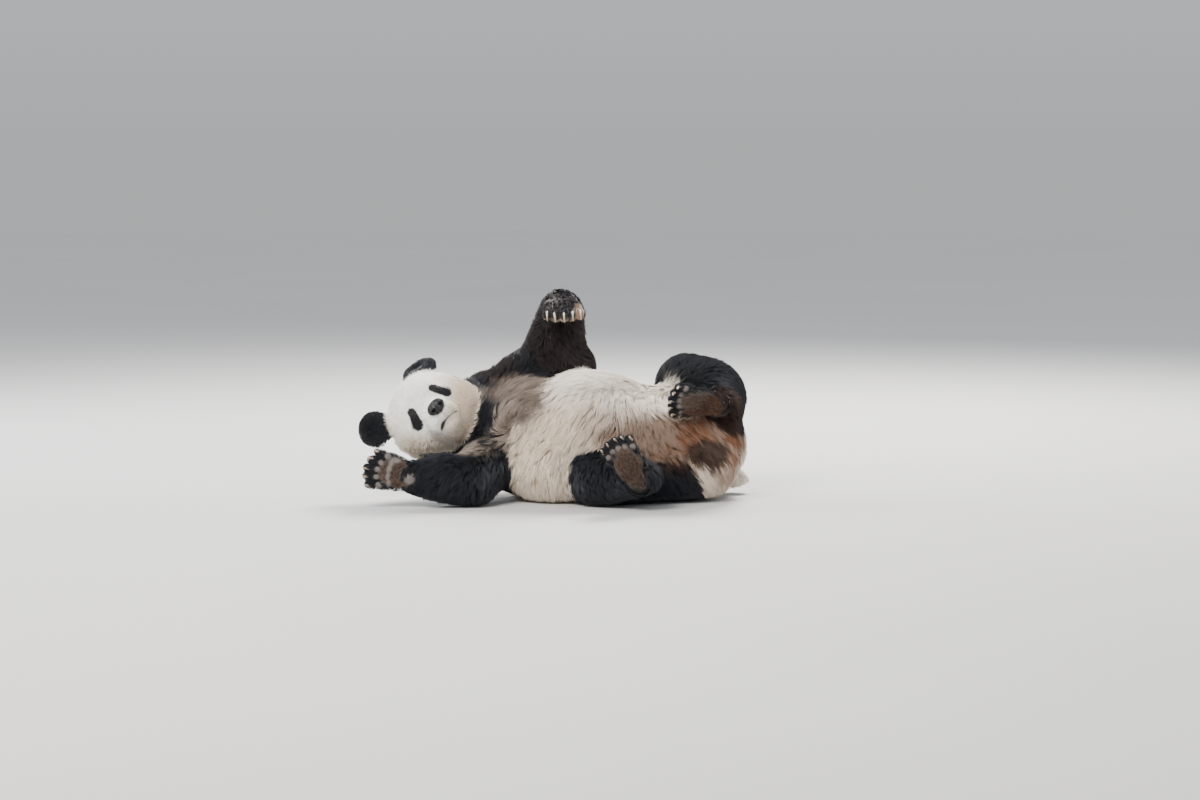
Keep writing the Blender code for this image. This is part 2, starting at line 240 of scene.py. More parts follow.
def coatShader(tree):
    # marks: black, rust, grey; lock: how far along, its own chance, its whiteness
    black, rust, grey = marksOn(tree, "marks")
    along, chance, white = marksOn(tree, "lock")
    c, look = coatColours, coatLook
    # painted shade: each lock is darker towards its root, deep in the coat, and paler at its tip
    pale = (along * look["rootShade"] + white * look["paleMark"]).held()
    cream = blend(tree, pale, c["buff"], c["cream"])
    least, more = look["grey"]
    dun = (along ** look["greyBend"] * (least + chance * more)).held()
    colour = blend(tree, grey, cream, blend(tree, dun, c["greyRoot"], c["greyTip"]))
    ruddy = blend(tree, (along ** look["rustBend"]).held(), c["rust"], c["rustTip"])
    least, more = look["rust"]
    colour = blend(tree, (rust * (least + chance * more)).held(), colour, ruddy)
    dark = blend(tree, (rust * look["brown"]).held(), c["blackTip"], c["brownTip"])
    # painted shade: black hair is darker towards its root as well
    dark = blend(tree, along, c["blackRoot"], dark)
    colour = blend(tree, black, colour, dark)
    least, more = look["shade"]
    scaled = {0: colour, "Scale": least + chance * more}
    lit = node(tree, "ShaderNodeVectorMath", {"operation": "SCALE"}, scaled)
    return {"Base Color": lit, "Roughness": look["rough"] - black * look["blackSheen"]}


def skinShader(tree):
    # the same marks, over hide that shows between the locks
    black, rust, grey = marksOn(tree, "marks")
    lip, pad, white = marksOn(tree, "bare")
    place = placeOn(tree)
    c, look = coatColours, skinLook
    mottle = noise(tree, place, look["mottle"], 3)
    pale = (white * look["pale"] + mottle * look["mottled"]).held()
    colour = blend(tree, pale, c["buff"], c["cream"])
    layers = ((grey, "greyRoot"), (rust, "rust"), (black, "blackRoot"),
              ((lip * look["lip"]).held(), "lip"), (pad, "pad"))
    for share, name in layers:
        colour = blend(tree, share, colour, c[name])
    pores = noise(tree, place, look["pores"], 2)
    return {
        "Base Color": colour,
        "Roughness": look["rough"] - lip * look["wetLip"],
        "Normal": bump(tree, pores, look["poreDepth"], look["poreStrength"]),
    }


def floorShader(tree):
    cloudy = noise(tree, placeOn(tree), viewing["floorCloud"], 3)
    return {"Base Color": blend(tree, cloudy, *viewing["floorColours"])}


def skyShader(tree):
    # paler overhead than at the floor's edge
    way = node(tree, "ShaderNodeTexCoord", {}, [], "Generated")
    height = node(tree, "ShaderNodeSeparateXYZ", {}, [way], 2)
    ramp = node(tree, "ShaderNodeValToRGB", {"stops": viewing["sky"]}, [height.held()])
    sky = tree.nodes["Background"]
    plug(tree, sky.inputs["Color"], ramp)
    sky.inputs["Strength"].default_value = viewing["skyStrength"]


floor = makeStage()
print("camera, floor and lights ready")

finishes = {
    "coat": makeMaterial("coat", coatShader, Specular_IOR_Level=0.3),
    "skin": makeMaterial("skin", skinShader),
    "floor": makeMaterial("floor", floorShader, Roughness=0.9),
}
floor.data.materials.append(finishes["floor"])


# the head's own frame: left, forward and up
headPose = {
    "centre": (-0.440, 0.012, 0.3012),
    "tilt": 5.2,  # the face looks slightly upwards
    "roll": 50,  # of the crown, from up towards the left of the view
    "turn": 11.5,
    "lift": 8,
    "reach": 0.26,  # all of the head lies this near its middle
}


def makeHeadFrame():
    tilt, roll, turn, lift = (math.radians(headPose[k]) for k in ("tilt", "roll", "turn", "lift"))
    side = np.array((1, 0, 0))
    rise = np.array((0, math.sin(tilt), math.cos(tilt)))
    out = np.array((0, -math.cos(tilt), math.sin(tilt)))
    left = side * math.cos(roll) + rise * math.sin(roll)
    crown = rise * math.cos(roll) - side * math.sin(roll)
    turned = out * math.cos(turn) + left * math.sin(turn)
    left = left * math.cos(turn) - out * math.sin(turn)
    forward = turned * math.cos(lift) + crown * math.sin(lift)
    crown = crown * math.cos(lift) - turned * math.sin(lift)
    return np.array((left, forward, crown))


headAxes = makeHeadFrame()
headCentre = np.array(headPose["centre"])


def toHead(points):
    return (points - headCentre) @ headAxes.T


def fromHead(points):
    return headCentre + np.asarray(points, float) @ headAxes


def ease(values, low, high):
    # from 0 at low to 1 at high, smoothly
    share = np.clip((np.asarray(values, float) - low) / (high - low), 0, 1)
    return share * share * (3 - 2 * share)


def growing(values, rule):
    # from nothing to an amount, between two values
    amount, low, high = rule
    return amount * ease(values, low, high)


def unit(vectors):
    vectors = np.asarray(vectors, float)
    length = np.linalg.norm(vectors, axis=-1, keepdims=True)
    return vectors / np.maximum(length, 1e-9)


def readMesh(mesh, collection, field, width, kind=float):
    found = getattr(mesh, collection)
    values = np.empty(len(found) * width, np.float32 if kind is float else np.int32)
    found.foreach_get(field, values)
    return values.reshape(-1, width).astype(kind) if width > 1 else values.astype(kind)


def pointsOf(mesh):
    return readMesh(mesh, "vertices", "co", 3)


def normalsOf(mesh):
    return readMesh(mesh, "vertices", "normal", 3)


def edgesOf(mesh):
    return readMesh(mesh, "edges", "vertices", 2, int)


def setPoints(mesh, points):
    mesh.vertices.foreach_set("co", points.astype(np.float32).ravel())
    mesh.update()


def meshOf(bm, name, smooth=False):
    # what is built in bm, as a mesh
    mesh = bpy.data.meshes.new(name)
    bm.to_mesh(mesh)
    bm.free()
    if smooth:
        mesh.shade_smooth()
    return mesh


def treeOf(points):
    # finds the nearest of the points
    tree = KDTree(len(points))
    for i, place in enumerate(points):
        tree.insert(place, i)
    tree.balance()
    return tree


def inSurface(vectors, normals):
    # the part of each vector that lies along the surface
    return vectors - normals * np.einsum("ij,ij->i", vectors, normals)[:, None]


def spread(values, edges, rounds, share=0.5):
    # evens values out along the edges; rounds may differ from vertex to vertex
    a, b = edges.T
    size = len(values)
    count = np.maximum(np.bincount(edges.ravel(), minlength=size), 1)[:, None]
    rounds = np.broadcast_to(rounds, size)
    for turn in range(int(np.max(rounds))):
        total = np.empty_like(values)
        for k in range(values.shape[1]):
            column = values[:, k]
            total[:, k] = np.bincount(a, column[b], size) + np.bincount(b, column[a], size)
        moving = np.clip(rounds - turn, 0, 1)[:, None] * share
        values = values + moving * (total / count - values)
    return values


def middleOf(solid):
    points = pointsOf(nodes[solid].data)
    return (points.min(0) + points.max(0)) / 2


def newObject(name, mesh):
    made = bpy.data.objects.new(name, mesh)
    bpy.context.scene.collection.objects.link(made)
    return made


# the skin is one closed hide inside these solids, by the depth of the coat
groups = {
    "trunk": ["trunk"],
    "neck": ["neck"],
    "head": ["head"],
    "earLeft": ["ear_left"],
    "earRight": ["ear_right"],
    "foreLeft": ["foreleg_left_upper", "foreleg_left_lower"],
    "foreRight": ["foreleg_right_upper", "foreleg_right_lower"],
    "hindLeft": ["hindleg_left_upper", "hindleg_left_lower"],
    "hindRight": ["hindleg_right_upper", "hindleg_right_lower"],
    "pawLeft": ["forepaw_left"],
    "pawRight": ["forepaw_right"],
    "footLeft": ["hindfoot_left"],
    "footRight": ["hindfoot_right"],
    "tail": ["tail"],
}
groupNames = list(groups)

hide = {
    "voxel": 0.006,
    "fineVoxel": 0.006,
    "swell": 0.0012,  # closes the thin gaps between the solids
    "joined": 0.00001,
    "blendRounds": 10,
    "normalRounds": 5,
    "evenRounds": 2,
    "carryRounds": 2,
    "pressedHeight": 0.07,  # the coat is pressed flat below this height
    "pressedShare": 0.25,
    "depth": {  # of the coat over the skin
        "trunk": 0.023, "neck": 0.022, "head": 0.010, "tail": 0.016,
        "earLeft": 0.007, "earRight": 0.007,
        "foreLeft": 0.019, "foreRight": 0.018, "hindLeft": 0.018, "hindRight": 0.018,
        "pawLeft": 0.012, "pawRight": 0.014, "footLeft": 0.014, "footRight": 0.014,
    },
    "rounds": {  # of smoothing
        "trunk": 45, "neck": 30, "head": 9, "tail": 10, "earLeft": 5, "earRight": 5,
        "foreLeft": 30, "foreRight": 30, "hindLeft": 30, "hindRight": 30,
        "pawLeft": 3, "pawRight": 3, "footLeft": 3, "footRight": 3,
    },
}

foreSize = {
    "palm": (0.053, 0.100, 0.028),  # half width, length, half depth
    "toe": 0.0134,
    "toeLength": 0.038,
    "spread": 0.049,  # from the middle toe to an outer one
    "arc": 0.020,  # how far back the outer toes stand
}
hindSize = {
    "palm": (0.047, 0.130, 0.030),
    "toe": 0.0124,
    "toeLength": 0.030,
    "spread": 0.043,
    "arc": 0.016,
}

paws = {  # wrist, a point towards the toes, the way its back faces, side of the first toe
    "pawLeft": {"solid": "forepaw_left", "size": foreSize, "wrist": (0.011, 0.187, 0.678),
                "towards": (0.022, 0.067, 0.645), "back": (0, -0.5, 0.86), "first": 1,
                "palmPads": 5,  # its wrist's own pad is folded away in the fur
                "straight": 0.3, "hang": (0.18, -0.15, -1.0)},  # its hair falls over the toes
    "pawRight": {"solid": "forepaw_right", "size": foreSize, "wrist": (-0.497, -0.215, 0.108),
                 "towards": (-0.663, -0.233, 0.146), "back": (0.05, 1, -0.10), "first": -1,
                 "palmPads": 6},
    "footLeft": {"solid": "hindfoot_left", "size": hindSize, "wrist": (0.550, -0.068, 0.340),
                 "towards": (0.366, -0.133, 0.370), "back": (-0.05, 0.92, 0.32), "first": 1,
                 "palmPads": 0},
    "footRight": {"solid": "hindfoot_right", "size": hindSize, "wrist": (0.282, -0.313, 0.100),
                  "towards": (0.180, -0.343, 0.270), "back": (-0.05, 0.98, 0.10), "first": -1,
                  "palmPads": 0},
}
for paw in paws.values():
    front = unit(np.subtract(paw["towards"], paw["wrist"]))
    top = unit(np.array(paw["back"]) - front * np.dot(paw["back"], front))
    paw["axes"] = np.array((np.cross(front, top), front, top))


def fromPaw(paw, place):
    return np.array(paw["wrist"]) + np.asarray(place, float) @ paw["axes"]


def toPaw(paw, points):
    return (points - np.array(paw["wrist"])) @ paw["axes"].T


toes = {
    "count": 5,
    "slant": 0.25,  # the first toe stands further back
    "rise": 0.004,
    "splay": 0.16,
    "drop": -0.008,
}


def toesOf(paw):
    # each toe's root and tip in the paw's frame
    size = paw["size"]
    for across in np.linspace(-1, 1, toes["count"]):
        setBack = size["arc"] * (across**2 + toes["slant"] * across * paw["first"])
        root = np.array((across * size["spread"], size["palm"][1] - setBack, toes["rise"]))
        reach = (toes["splay"] * across * size["toeLength"], size["toeLength"], toes["drop"])
        yield root, root + np.array(reach)


def gatherFlesh():
    # every solid of flesh in one mesh, and the group that each face belongs to
    flesh = bmesh.new()
    owners = []
    for g, names in enumerate(groups.values()):
        for name in names:
            part = bmesh.new()
            part.from_mesh(nodes[name].data)
            bmesh.ops.remove_doubles(part, verts=part.verts, dist=hide["joined"])
            part.normal_update()
            for vert in part.verts:
                vert.co += vert.normal * hide["swell"]
            mesh = meshOf(part, "part")
            flesh.from_mesh(mesh)
            owners += [g] * len(mesh.polygons)
            bpy.data.meshes.remove(mesh)
    return flesh, np.array(owners)


def remeshed(source, voxel):
    mesh = bpy.data.meshes.new("blended")
    source.to_mesh(mesh)
    obj = newObject("blended", mesh)
    change = obj.modifiers.new("blend", "REMESH")
    change.mode = "VOXEL"
    change.voxel_size = voxel
    graph = bpy.context.evaluated_depsgraph_get()
    made = bpy.data.meshes.new_from_object(obj.evaluated_get(graph))
    bpy.data.objects.remove(obj)
    return made


def perGroup(table, weights):
    return weights @ np.array([table[name] for name in groupNames])


def shareOf(weights, name):
    return weights[:, groupNames.index(name)]


def groupWeights(mesh, flesh, owners):
    # how much of each group a vertex is, blended across their borders
    flesh.faces.ensure_lookup_table()
    tree = BVHTree.FromBMesh(flesh)
    weights = np.zeros((len(mesh.vertices), len(groupNames)))
    for i, vert in enumerate(mesh.vertices):
        weights[i, owners[tree.find_nearest(vert.co)[2]]] = 1
    return spread(weights, edgesOf(mesh), hide["blendRounds"])


eyeShape = {
    "spot": (0.0615, 0.1055, 0.0205),  # in the head's frame
    "radius": 0.0115,
    "dome": (0.10, 0.62, 0.30),  # of the cornea: its height, and where it starts and is full
    "round": (48, 32),
}

faceCoat = {  # the depth of the coat over the head
    "deep": 0.011,
    "thinner": 0.0075,
    "forward": 0.115,
    "lids": (0.0028, 0.012, 0.034),  # the depth there, and from where to where it thickens
}


def eyeSpot(side):
    return np.array((side, 1, 1)) * eyeShape["spot"]


def byEyes(values, q, least, low, high):
    # brings values down to the least close round each eye
    away = np.linalg.norm(np.column_stack((np.abs(q[:, 0]), q[:, 1:])) - eyeSpot(1), axis=1)
    return values - (values - least) * (1 - ease(away, low, high))


def faceDepth(points):
    # the coat thins towards the nose and round the eyes
    q = toHead(points)
    depth = faceCoat["deep"] - faceCoat["thinner"] * ease(q[:, 1], 0.0, faceCoat["forward"])
    return byEyes(depth, q, *faceCoat["lids"])


def refine(mesh, chosen):
    # halves the mesh's faces where all their vertices are chosen
    bm = bmesh.new()
    bm.from_mesh(mesh)
    bm.verts.ensure_lookup_table()
    edges = [e for e in bm.edges if chosen[e.verts[0].index] and chosen[e.verts[1].index]]
    bmesh.ops.subdivide_edges(bm, edges=edges, cuts=1, use_grid_fill=True)
    wide = [f for f in bm.faces if len(f.verts) > 4]
    bmesh.ops.triangulate(bm, faces=wide)
    bm.to_mesh(mesh)
    bm.free()


def roundMesh(across, down):
    bm = bmesh.new()
    bmesh.ops.create_uvsphere(bm, u_segments=across, v_segments=down, radius=1)
    return meshOf(bm, "round")


def addBall(bm, ball, centre, half, turn):
    # an ellipsoid in a frame whose axes are the rows of turn
    place = Matrix.Translation(Vector(centre)) @ Matrix(turn).transposed().to_4x4()
    mesh = ball.copy()
    mesh.transform(place @ Matrix.Diagonal((*half, 1)))
    bm.from_mesh(mesh)
    bpy.data.meshes.remove(mesh)


pawForm = {  # against the size of the palm or the toe
    "round": (16, 10),
    "heel": (0.005, 0.82, 0.05, 1.15),  # place, width, length in metres, depth
    "palm": (0.52, 0.6),  # place and half length
    "toe": (-0.5, 1.22, 8),  # from behind its root to past its tip, and in how many balls
    "taper": 0.1,
    "narrow": 0.94,
}


def addPaws(bm):
    # palms and toes of their real shape, where the solids are only mitts
    ball = roundMesh(*pawForm["round"])
    heelAt, heelWidth, heelLength, heelDepth = pawForm["heel"]
    palmAt, palmHalf = pawForm["palm"]
    for paw in paws.values():
        size, axes = paw["size"], paw["axes"]
        width, length, deep = size["palm"]
        heel = (width * heelWidth, heelLength, deep * heelDepth)
        addBall(bm, ball, fromPaw(paw, (0, heelAt, 0)), heel, axes)
        palm = (width, length * palmHalf, deep)
        addBall(bm, ball, fromPaw(paw, (0, length * palmAt, 0)), palm, axes)
        for root, tip in toesOf(paw):
            for share in np.linspace(*pawForm["toe"]):
                girth = size["toe"] * (1 - pawForm["taper"] * share)
                place = fromPaw(paw, root + (tip - root) * share)
                addBall(bm, ball, place, (girth * pawForm["narrow"], girth, girth), axes)


ears = {
    "root": 0.82,  # of the way from the head's middle to the ear's
    "lieRoot": 0.55,  # the hair lies away from here
    "sizes": {  # how much wider, deeper and taller the ears grow from their roots
        "earLeft": (1.24, 1.0, 1.14),
        "earRight": (1.04, 1.0, 1.20),
    },
}


def earRoot(name, share):
    return headCentre + (middleOf(groups[name][0]) - headCentre) * share


def growEars(points, weights):
    for name, sizes in ears["sizes"].items():
        grown = (points - earRoot(name, ears["root"])) * (np.array(sizes) - 1)
        points = points + shareOf(weights, name)[:, None] * grown
    return points


def makeHide():
    # the solids joined, smoothed and drawn in by the coat, with real paws added
    flesh, owners = gatherFlesh()
    mesh = remeshed(flesh, hide["voxel"])
    weights = groupWeights(mesh, flesh, owners)
    flesh.free()
    edges = edgesOf(mesh)
    points = spread(pointsOf(mesh), edges, perGroup(hide["rounds"], weights))
    points = growEars(points, weights)
    setPoints(mesh, points)
    normals = unit(spread(normalsOf(mesh), edges, hide["normalRounds"]))
    depth = perGroup(hide["depth"], weights)
    depth += shareOf(weights, "head") * (faceDepth(points) - hide["depth"]["head"])
    pressed = ease(points[:, 2], 0.0, hide["pressedHeight"])
    depth *= hide["pressedShare"] + (1 - hide["pressedShare"]) * pressed
    points = spread(points - normals * depth[:, None], edges, hide["evenRounds"])
    setPoints(mesh, points)
    whole = bmesh.new()
    whole.from_mesh(mesh)
    addPaws(whole)
    made = remeshed(whole, hide["fineVoxel"])
    whole.free()
    facts = carry(np.column_stack((weights, depth)), points, made, hide["carryRounds"])
    setPoints(made, spread(pointsOf(made), edgesOf(made), hide["evenRounds"]))
    return made, facts


def carry(values, places, mesh, rounds):
    # values kept at places, for the vertices of another mesh over the same form
    tree = treeOf(places)
    found = [tree.find(vert.co)[1] for vert in mesh.vertices]
    return spread(values[found], edgesOf(mesh), rounds)


refining = {
    "face": (0.24, 0.02),  # from the head's middle, and how far forward it starts
    "finer": [(0.036, 0.105), (0.019, 0.5)],  # from the eyes, and further forward than this
    "rounds": (3, 4),  # of evening out what was carried over, and the points
}


def refineHide(mesh, facts):
    # finer faces on the head and paws, and finest round the eyes and mouth
    before = pointsOf(mesh)
    q = toHead(before)
    within, forward = refining["face"]
    pawShare = sum(shareOf(facts, name) for name in paws)
    front = (np.linalg.norm(q, axis=1) < within) & (q[:, 1] > forward)
    refine(mesh, (pawShare > 0.5) | (front & (shareOf(facts, "head") > 0.5)))
    for reach, forward in refining["finer"]:
        q = toHead(pointsOf(mesh))
        chosen = (q[:, 1] > forward) & (np.linalg.norm(q, axis=1) < within)
        for side in (1, -1):
            chosen |= np.linalg.norm(q - eyeSpot(side), axis=1) < reach
        refine(mesh, chosen)
    carried, moved = refining["rounds"]
    facts = carry(facts, before, mesh, carried)
    setPoints(mesh, spread(pointsOf(mesh), edgesOf(mesh), moved))
    return facts


skinMesh, facts = makeHide()
facts = refineHide(skinMesh, facts)
print("skin blended:", len(skinMesh.vertices), "points")


eyes = {
    "slitHalf": 0.0094,
    "openHalf": 0.0066,
    "slant": 0.35,  # the outer corner sits higher
    "forward": 0.35,  # how much the eyes look ahead
    "ring": (0.013, 0.024),  # the hide that an eye's facing is taken from
    "lid": 0.0012,
    "edge": 0.0015,  # width of the lid's edge
    "rim": (0.0010, 0.0012, 0.0013),  # height, place and width of the lid's thick edge
    "under": 0.004,  # how far the hide lies below the front of the ball
    "bare": (0.0005, 0.0016),
    "steepest": 0.45,  # of the ball's radius: as low as the hide follows it
    "hugged": 0.95,  # of the ball's radius, from where it blends into the face
    "reach": 0.024,
    "within": 0.05,
}

lips = {
    "height": -0.087,  # of the mouth's middle in the head's frame
    "droop": 0.008,
    "corner": 0.047,
    "cornerEase": (0.006, 0.004),
    "groove": 0.0075,
    "gap": 0.0023,
    "shallow": 0.55,  # share of the groove's depth where the mouth is shut
    "parted": (-0.030, 0.015, 1.9),  # place, reach, how much wider the gap is
    "dimple": (0.042, 0.006),
    "forward": (0.085, 0.105),
}

cleft = {  # from the nose down to the mouth
    "width": 0.0020,
    "depth": 0.0022,
    "strength": 0.5,
    "bare": 0.8,
    "forward": (0.14, 0.155),
    "from": (0.045, 0.055),
    "to": (0.080, 0.086),
}

swells = [  # soft forms pushed out of the muzzle: place, reach, how far
    ((0.021, 0.160, -0.072), 0.017, 0.0040),
    ((-0.021, 0.160, -0.072), 0.017, 0.0040),
    ((0.000, 0.140, -0.106), 0.018, 0.0035),
    ((0.050, 0.100, 0.048), 0.020, 0.0030),
    ((-0.050, 0.100, 0.048), 0.020, 0.0030),
    ((0.000, 0.120, 0.015), 0.018, -0.0035),
]


def eyeAxes(side, q, normals):
    # out of the head, along the slit and across it, at one eye
    spot = eyeSpot(side)
    away = np.linalg.norm(q - spot, axis=1)
    low, high = eyes["ring"]
    facing = normals[(away > low) & (away < high)].mean(0)
    out = unit(facing + np.array((0, eyes["forward"], 0)))
    slit = np.array((side, 0, eyes["slant"]))
    slit = unit(slit - out * slit.dot(out))
    return spot, out, slit, np.cross(out, slit) * -side


def bell(values, place, width):
    # 1 at the place, and falling to nothing on both sides
    return np.exp(-((values - place) / width) ** 2)


def shapeLids(q, frameOfEye):
    # the hide hugs the eyeball, thick at the lids' edges, and opens in an almond
    spot, out, slit, up = frameOfEye
    radius = eyeShape["radius"]
    d = q - spot
    along, across, height = d @ slit, d @ up, d @ out
    far = np.hypot(along, across)
    opening = eyes["openHalf"] * (1 - (along / eyes["slitHalf"]) ** 2)
    outside = np.where(opening > 0, np.abs(across) - opening,
                       np.hypot(np.abs(along) - eyes["slitHalf"], across))
    ball = np.sqrt(np.maximum(radius**2 - far**2, (eyes["steepest"] * radius) ** 2))
    thick, place, width = eyes["rim"]
    lid = ball + eyes["lid"] * ease(outside, 0, eyes["edge"]) + thick * bell(outside, place, width)
    lid = np.where(outside < 0, ball - eyes["under"] * ease(-outside, 0, eyes["edge"]), lid)
    blended = ease(far, radius * eyes["hugged"], eyes["reach"])
    near = (far < eyes["reach"]) & (np.abs(height) < eyes["within"])
    moved = spot + np.outer(along, slit) + np.outer(across, up)
    moved += np.outer(lid * (1 - blended) + height * blended, out)
    start, width = eyes["bare"]
    bare = near * bell(np.maximum(outside - start, 0), 0, width)
    return np.where(near[:, None], moved, q), bare


def mouthLine(x):
    return lips["height"] - lips["droop"] * (x / lips["corner"]) ** 2


def shapeMouth(q, normals):
    # a lip line with a groove, and the cleft from the nose down to it
    x, y, down = q[:, 0], q[:, 1], -q[:, 2]
    narrow, wide = lips["cornerEase"]
    inside = 1 - ease(np.abs(x), lips["corner"] - narrow, lips["corner"] + wide)
    place, reach, wider = lips["parted"]
    parted = bell(x, place, reach)
    gap = lips["gap"] * (1 + wider * parted)
    groove = ease(y, *lips["forward"]) * inside * bell(np.abs(q[:, 2] - mouthLine(x)), 0, gap)
    deepest = np.maximum(parted, bell(x, *lips["dimple"]))
    groove *= lips["shallow"] + (1 - lips["shallow"]) * deepest
    line = cleft["strength"] * bell(x, 0, cleft["width"]) * ease(y, *cleft["forward"])
    line *= ease(down, *cleft["from"]) * (1 - ease(down, *cleft["to"]))
    depth = lips["groove"] * groove + cleft["depth"] * line
    return q - normals * depth[:, None], np.maximum(groove, line * cleft["bare"])


def shapeFace(mesh):
    # all of it, in the head's frame; gives the share of bare dark hide as well
    points = pointsOf(mesh)
    q = toHead(points)
    normals = normalsOf(mesh) @ headAxes.T
    near = np.linalg.norm(q, axis=1) < headPose["reach"]
    frames = [eyeAxes(side, q[near], normals[near]) for side in (1, -1)]
    for place, reach, amount in swells:
        away = np.linalg.norm(q - np.array(place), axis=1)
        q = q + normals * (amount * bell(away, 0, reach))[:, None]
    q, bare = shapeMouth(q, normals)
    for frameOfEye in frames:
        q, rim = shapeLids(q, frameOfEye)
        bare = np.maximum(bare, rim)
    setPoints(mesh, np.where(near[:, None], fromHead(q), points))
    return bare * near, frames


bareLips, eyeFrames = shapeFace(skinMesh)
print("face shaped")


def finishPiece(obj, finish, slot, *replaced):
    if finish:
        obj.data.materials.append(finishes[finish])
    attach(obj, "root")
    if replaced:
        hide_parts(*replaced)
    return obj


def ballMesh(name, across, down, shape):
    # a closed ball whose points are moved by shape
    bm = bmesh.new()
    bmesh.ops.create_uvsphere(bm, u_segments=across, v_segments=down, radius=1)
    places = np.array([vert.co for vert in bm.verts])
    for vert, place in zip(bm.verts, shape(places)):
        vert.co = place
    bmesh.ops.recalc_face_normals(bm, faces=bm.faces)
    return meshOf(bm, name, smooth=True)


def keepNumber(mesh, name, values):
    kept = mesh.attributes.new(name, "FLOAT", "POINT")
    kept.data.foreach_set("value", values.astype(np.float32))


def makeEye(name, solid, frameOfEye):
    spot, out, slit, up = frameOfEye
    radius = eyeShape["radius"]
    height, start, full = eyeShape["dome"]

    def shape(places):
        # poles front and back; a low dome for the cornea
        dome = height * radius * ease(places[:, 2], math.cos(start), math.cos(full))
        local = places * (radius + dome)[:, None]
        return fromHead(spot + local @ np.array((slit, up, out)))

    mesh = ballMesh(name, *eyeShape["round"], shape)
    keepNumber(mesh, "ring", unit(toHead(pointsOf(mesh)) - spot) @ out)
    return finishPiece(newObject(name, mesh), "eye", "eye_gloss", solid)


noseShape = {
    "centre": (0, 0.180, -0.036),
    "half": (0.0350, 0.0165, 0.0225),
    "square": (0.86, 0.9, 0.86),  # below 1 fills out the corners
    "narrower": (0.24, -0.1, 1),  # below than above: how much, and from where to where
    "arch": 0.0035,
    "front": (0.05, 0.5),  # its forms fade in from the back
    "nostril": (0.0165, -0.0050),
    "hole": (0.0070, 0.0058, 1.4),  # half width, half height, how sharp its edge is
    "slit": (0.0085, 0.0060, 0.0010, 0.25, 0.0022),  # place, reach, rise, slant, thickness
    "rim": (0.0085, 0.0028),
    "ridge": (0.0016, 0.008, 0.006),  # rise, place and width
    "cleft": (0.0014, -0.004, 0.006),  # width, and from where to where it deepens
    "depths": {"rim": -0.0014, "hole": 0.0095, "slit": 0.0045, "cleft": 0.0020},
    # where the nostrils are painted near black, as shade inside them
    "darkHole": (0.0070, 0.0060, 1.5),
    "darkSlit": (0.0085, 0.0060, 0.0010, 0.25, 0.0024),
    "round": (112, 80),
}


def nostrils(p, hole, slit):
    # how far into a nostril's round hole, and into the slit beside it
    x, z = noseShape["nostril"]
    dx, dz = np.abs(p[:, 0]) - x, p[:, 2] - z
    width, height, sharp = hole
    inHole = np.exp(-((dx / width) ** 2 + (dz / height) ** 2) ** sharp)
    place, reach, rise, slant, thick = slit
    inSlit = np.exp(-((dx - place) / reach) ** 2 - ((dz - rise - dx * slant) / thick) ** 2)
    return np.hypot(dx, dz), inHole, inSlit


def noseForm(places):
    # front pole forward, square-shouldered above and narrower below
    s = places[:, [0, 2, 1]]
    p = np.sign(s) * np.abs(s) ** np.array(noseShape["square"]) * np.array(noseShape["half"])
    p[:, 0] *= 1 - growing(-s[:, 2], noseShape["narrower"])
    p[:, 2] += noseShape["arch"] * (1 - s[:, 0] ** 2) * ease(s[:, 2], 0, 1)
    front = ease(s[:, 1], *noseShape["front"])
    away, hole, slit = nostrils(p, noseShape["hole"], noseShape["slit"])
    width, low, high = noseShape["cleft"]
    cleftHere = bell(p[:, 0], 0, width) * ease(-p[:, 2], low, high)
    forms = {"rim": bell(away, *noseShape["rim"]), "hole": hole, "slit": slit, "cleft": cleftHere}
    for name, depth in noseShape["depths"].items():
        p[:, 1] -= front * depth * forms[name]
    rise, place, width = noseShape["ridge"]
    p[:, 1] += rise * front * bell(np.abs(p[:, 0]), place, width)
    return fromHead(p + np.array(noseShape["centre"]))


def makeNose():
    mesh = ballMesh("nosePad", *noseShape["round"], noseForm)
    q = toHead(pointsOf(mesh)) - np.array(noseShape["centre"])
    _, hole, slit = nostrils(q, noseShape["darkHole"], noseShape["darkSlit"])
    # painted shade inside the nostrils
    keepNumber(mesh, "hollow", np.maximum(hole, slit) * (q[:, 1] > 0))
    return finishPiece(newObject("nosePad", mesh), "nose", "nose_skin", "nose")


eyeLook = {
    "rings": [  # from the side of the ball to its front: white, edge, iris, pupil
        (0.55, (0.016, 0.011, 0.009)),
        (0.70, (0.010, 0.006, 0.004)),
        (0.86, (0.020, 0.010, 0.006)),
        (0.93, (0.002, 0.002, 0.002)),
    ],
    "fleck": 1400,
    "flecked": 0.4,
    "fleckColour": (0.012, 0.008, 0.006),
}

noseLook = {
    "colours": ((0.007, 0.007, 0.008), (0.022, 0.021, 0.023)),
    # painted shade inside the nostrils
    "hollow": (0.003, 0.002, 0.002),
    "worn": 60,
    "rough": (0.36, 0.22),  # where it is smoothest, and how much rougher where worn
    "pebbles": (620, 0.0010, 0.4),  # how fine, how deep, how strong
}


def eyeShader(tree):
    # a dark iris round a black pupil, and the white is dark brown too
    ring = node(tree, "ShaderNodeAttribute", {"attribute_name": "ring"}, [], "Fac")
    ramp = node(tree, "ShaderNodeValToRGB", {"stops": eyeLook["rings"]}, [ring])
    fleck = noise(tree, placeOn(tree), eyeLook["fleck"], 2)
    share = fleck * eyeLook["flecked"]
    return {"Base Color": blend(tree, share, ramp, eyeLook["fleckColour"])}


def pebbled(tree, scale, distance, strength):
    # the relief of fine cells
    values = {"Vector": placeOn(tree), "Scale": scale}
    cells = node(tree, "ShaderNodeTexVoronoi", {"feature": "DISTANCE_TO_EDGE"}, values)
    return bump(tree, cells, distance, strength)


def wornBy(worn, rough):
    # rougher where worn
    smooth, rougher = rough
    return smooth + worn * rougher


